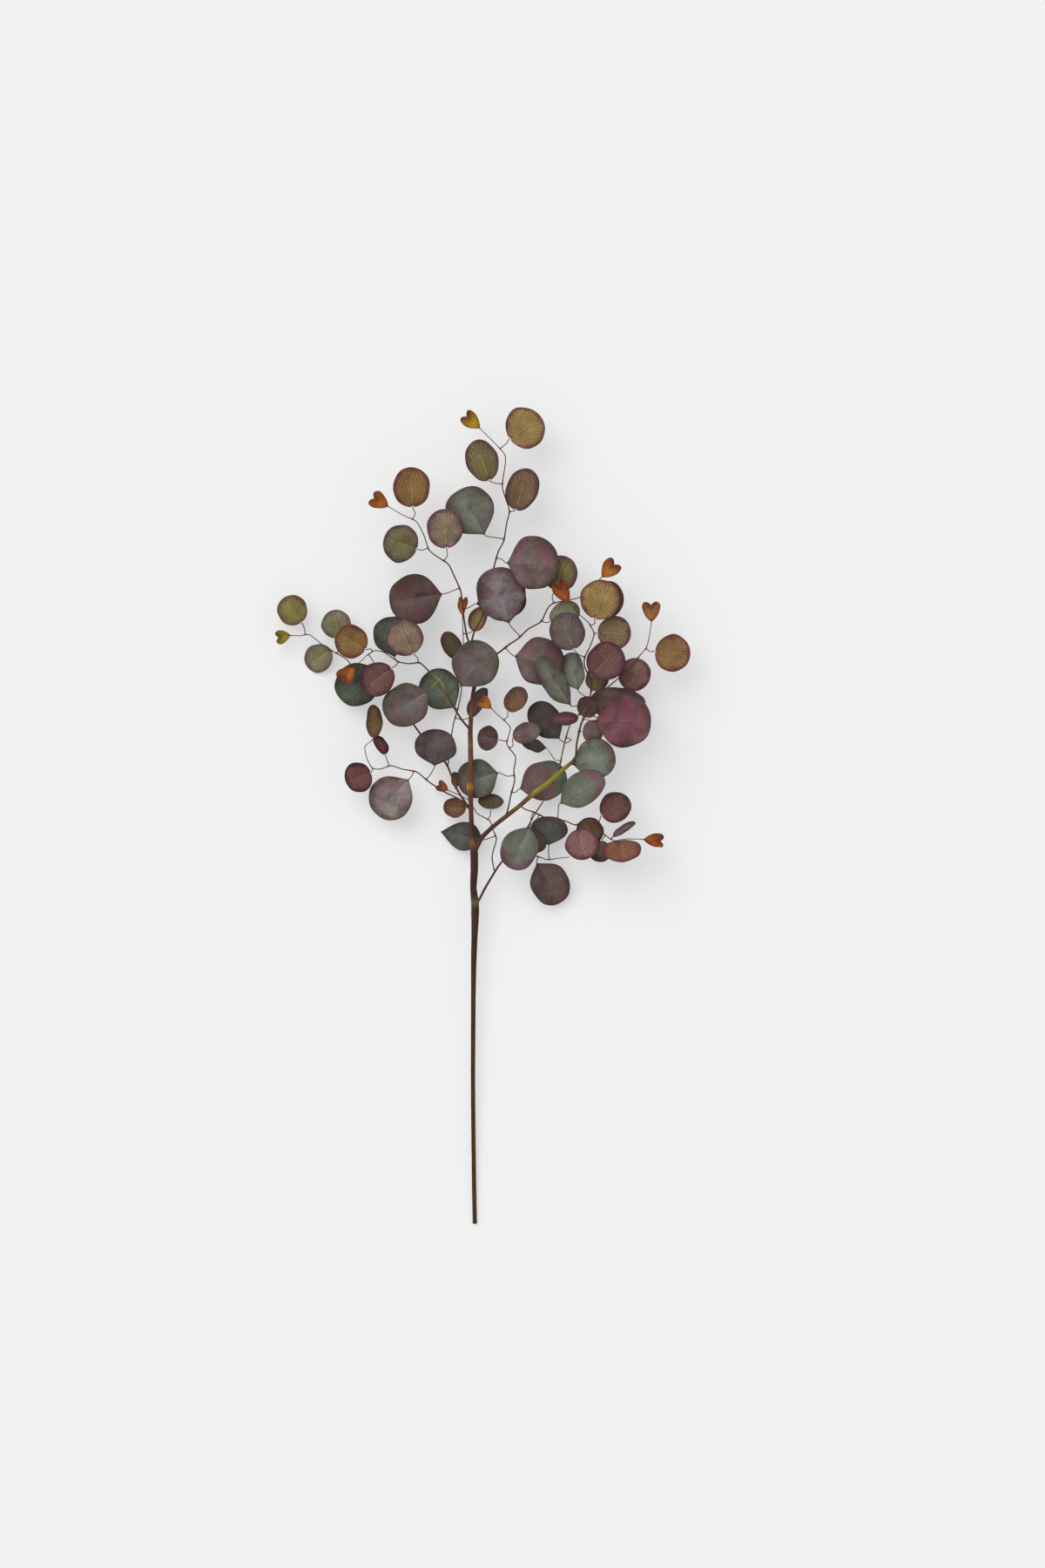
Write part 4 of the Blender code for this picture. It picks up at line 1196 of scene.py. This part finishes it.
class SPRAY_OT_wood(bpy.types.Operator):
    """Builds the stem and the thick branch"""

    bl_idname = "spray.wood"
    bl_label = "Build Stem and Branch"

    def execute(self, context):
        settings = context.scene.spray_wood
        wood_piece("main_stem", STEM, STEM_TINTS, "stem_bark", settings, 1)
        wood_piece("right_branch", RIGHT_BRANCH, BRANCH_TINTS, "twig_bark", settings, 2)
        return {"FINISHED"}


class SPRAY_OT_twigs(bpy.types.Operator):
    """Builds the twigs and leaf stalks of each spray"""

    bl_idname = "spray.twigs"
    bl_label = "Build Twigs"

    def execute(self, context):
        for name, twigs, leaves, _ in SPRAYS:
            twigs_piece(name, twigs, leaves, context.scene.spray_twigs)
        return {"FINISHED"}


class SPRAY_OT_leaves(bpy.types.Operator):
    """Builds the leaf blades of each spray"""

    bl_idname = "spray.leaves"
    bl_label = "Build Leaves"

    def execute(self, context):
        for name, _, leaves, looks in SPRAYS:
            blades_piece(name, leaves, looks, context.scene.spray_blades)
        return {"FINISHED"}


class SPRAY_OT_stage(bpy.types.Operator):
    """Sets the surface, the light and the camera straight above"""

    bl_idname = "spray.stage"
    bl_label = "Set Stage"

    def execute(self, context):
        settings = context.scene.spray_stage
        scene = context.scene
        bm = bmesh.new()
        bmesh.ops.create_grid(bm, x_segments=1, y_segments=1, size=settings.floor_size / 2.0)
        mesh = bpy.data.meshes.new("floor")
        bm.to_mesh(mesh)
        bm.free()
        mesh.materials.append(floor_material(settings))
        floor = bpy.data.objects.new("floor", mesh)
        scene.collection.objects.link(floor)

        world = bpy.data.worlds.new("sky")
        world.use_nodes = True
        background = world.node_tree.nodes["Background"]
        background.inputs["Color"].default_value = (1.0, 1.0, 1.0, 1.0)
        background.inputs["Strength"].default_value = settings.sky
        scene.world = world

        light = bpy.data.lights.new("lamp", "SUN")
        light.energy = settings.lamp
        light.angle = math.radians(LAMP_SOFTNESS)
        lamp = bpy.data.objects.new("lamp", light)
        lamp.rotation_euler = (*(math.radians(a) for a in LAMP_TILT), 0.0)
        scene.collection.objects.link(lamp)

        camera_data = bpy.data.cameras.new("camera")
        camera_data.sensor_fit = "VERTICAL"
        camera_data.sensor_height = FILM
        camera_data.lens = FILM * settings.camera_height / settings.frame_height
        camera = bpy.data.objects.new("camera", camera_data)
        camera.location = place(PICTURE_MIDDLE) + Vector((0.0, 0.0, settings.camera_height))
        scene.collection.objects.link(camera)
        scene.camera = camera
        scene.view_settings.view_transform = "Standard"
        return {"FINISHED"}


class SPRAY_PT_panel(bpy.types.Panel):
    """The settings and steps of the spray"""

    bl_label = "Eucalyptus Spray"
    bl_idname = "SPRAY_PT_panel"
    bl_space_type = "VIEW_3D"
    bl_region_type = "UI"
    bl_category = "Eucalyptus"

    def draw(self, context):
        layout = self.layout
        for name, _, step in GROUPS:
            box = layout.box()
            settings = getattr(context.scene, name)
            for field in settings.bl_rna.properties.keys():
                if field not in ("rna_type", "name"):
                    box.prop(settings, field)
            box.operator(step)


# Each group of settings: its name on the scene, its class, and the step that reads it.
GROUPS = (
    ("spray_wood", WoodSettings, "spray.wood"),
    ("spray_twigs", TwigSettings, "spray.twigs"),
    ("spray_blades", BladeSettings, "spray.leaves"),
    ("spray_stage", StageSettings, "spray.stage"),
)
STEPS = (SPRAY_OT_wood, SPRAY_OT_twigs, SPRAY_OT_leaves, SPRAY_OT_stage, SPRAY_PT_panel)


def register():
    """Adds the settings, the steps and the panel."""
    for name, group, _ in GROUPS:
        bpy.utils.register_class(group)
        setattr(bpy.types.Scene, name, bpy.props.PointerProperty(type=group))
    for step in STEPS:
        bpy.utils.register_class(step)


def unregister():
    """Takes them away again."""
    for step in reversed(STEPS):
        bpy.utils.unregister_class(step)
    for name, group, _ in GROUPS:
        delattr(bpy.types.Scene, name)
        bpy.utils.unregister_class(group)


def main():
    """Builds every piece and the stage."""
    register()
    bpy.ops.spray.wood()
    bpy.ops.spray.twigs()
    bpy.ops.spray.leaves()
    bpy.ops.spray.stage()


if __name__ == "__main__":
    main()
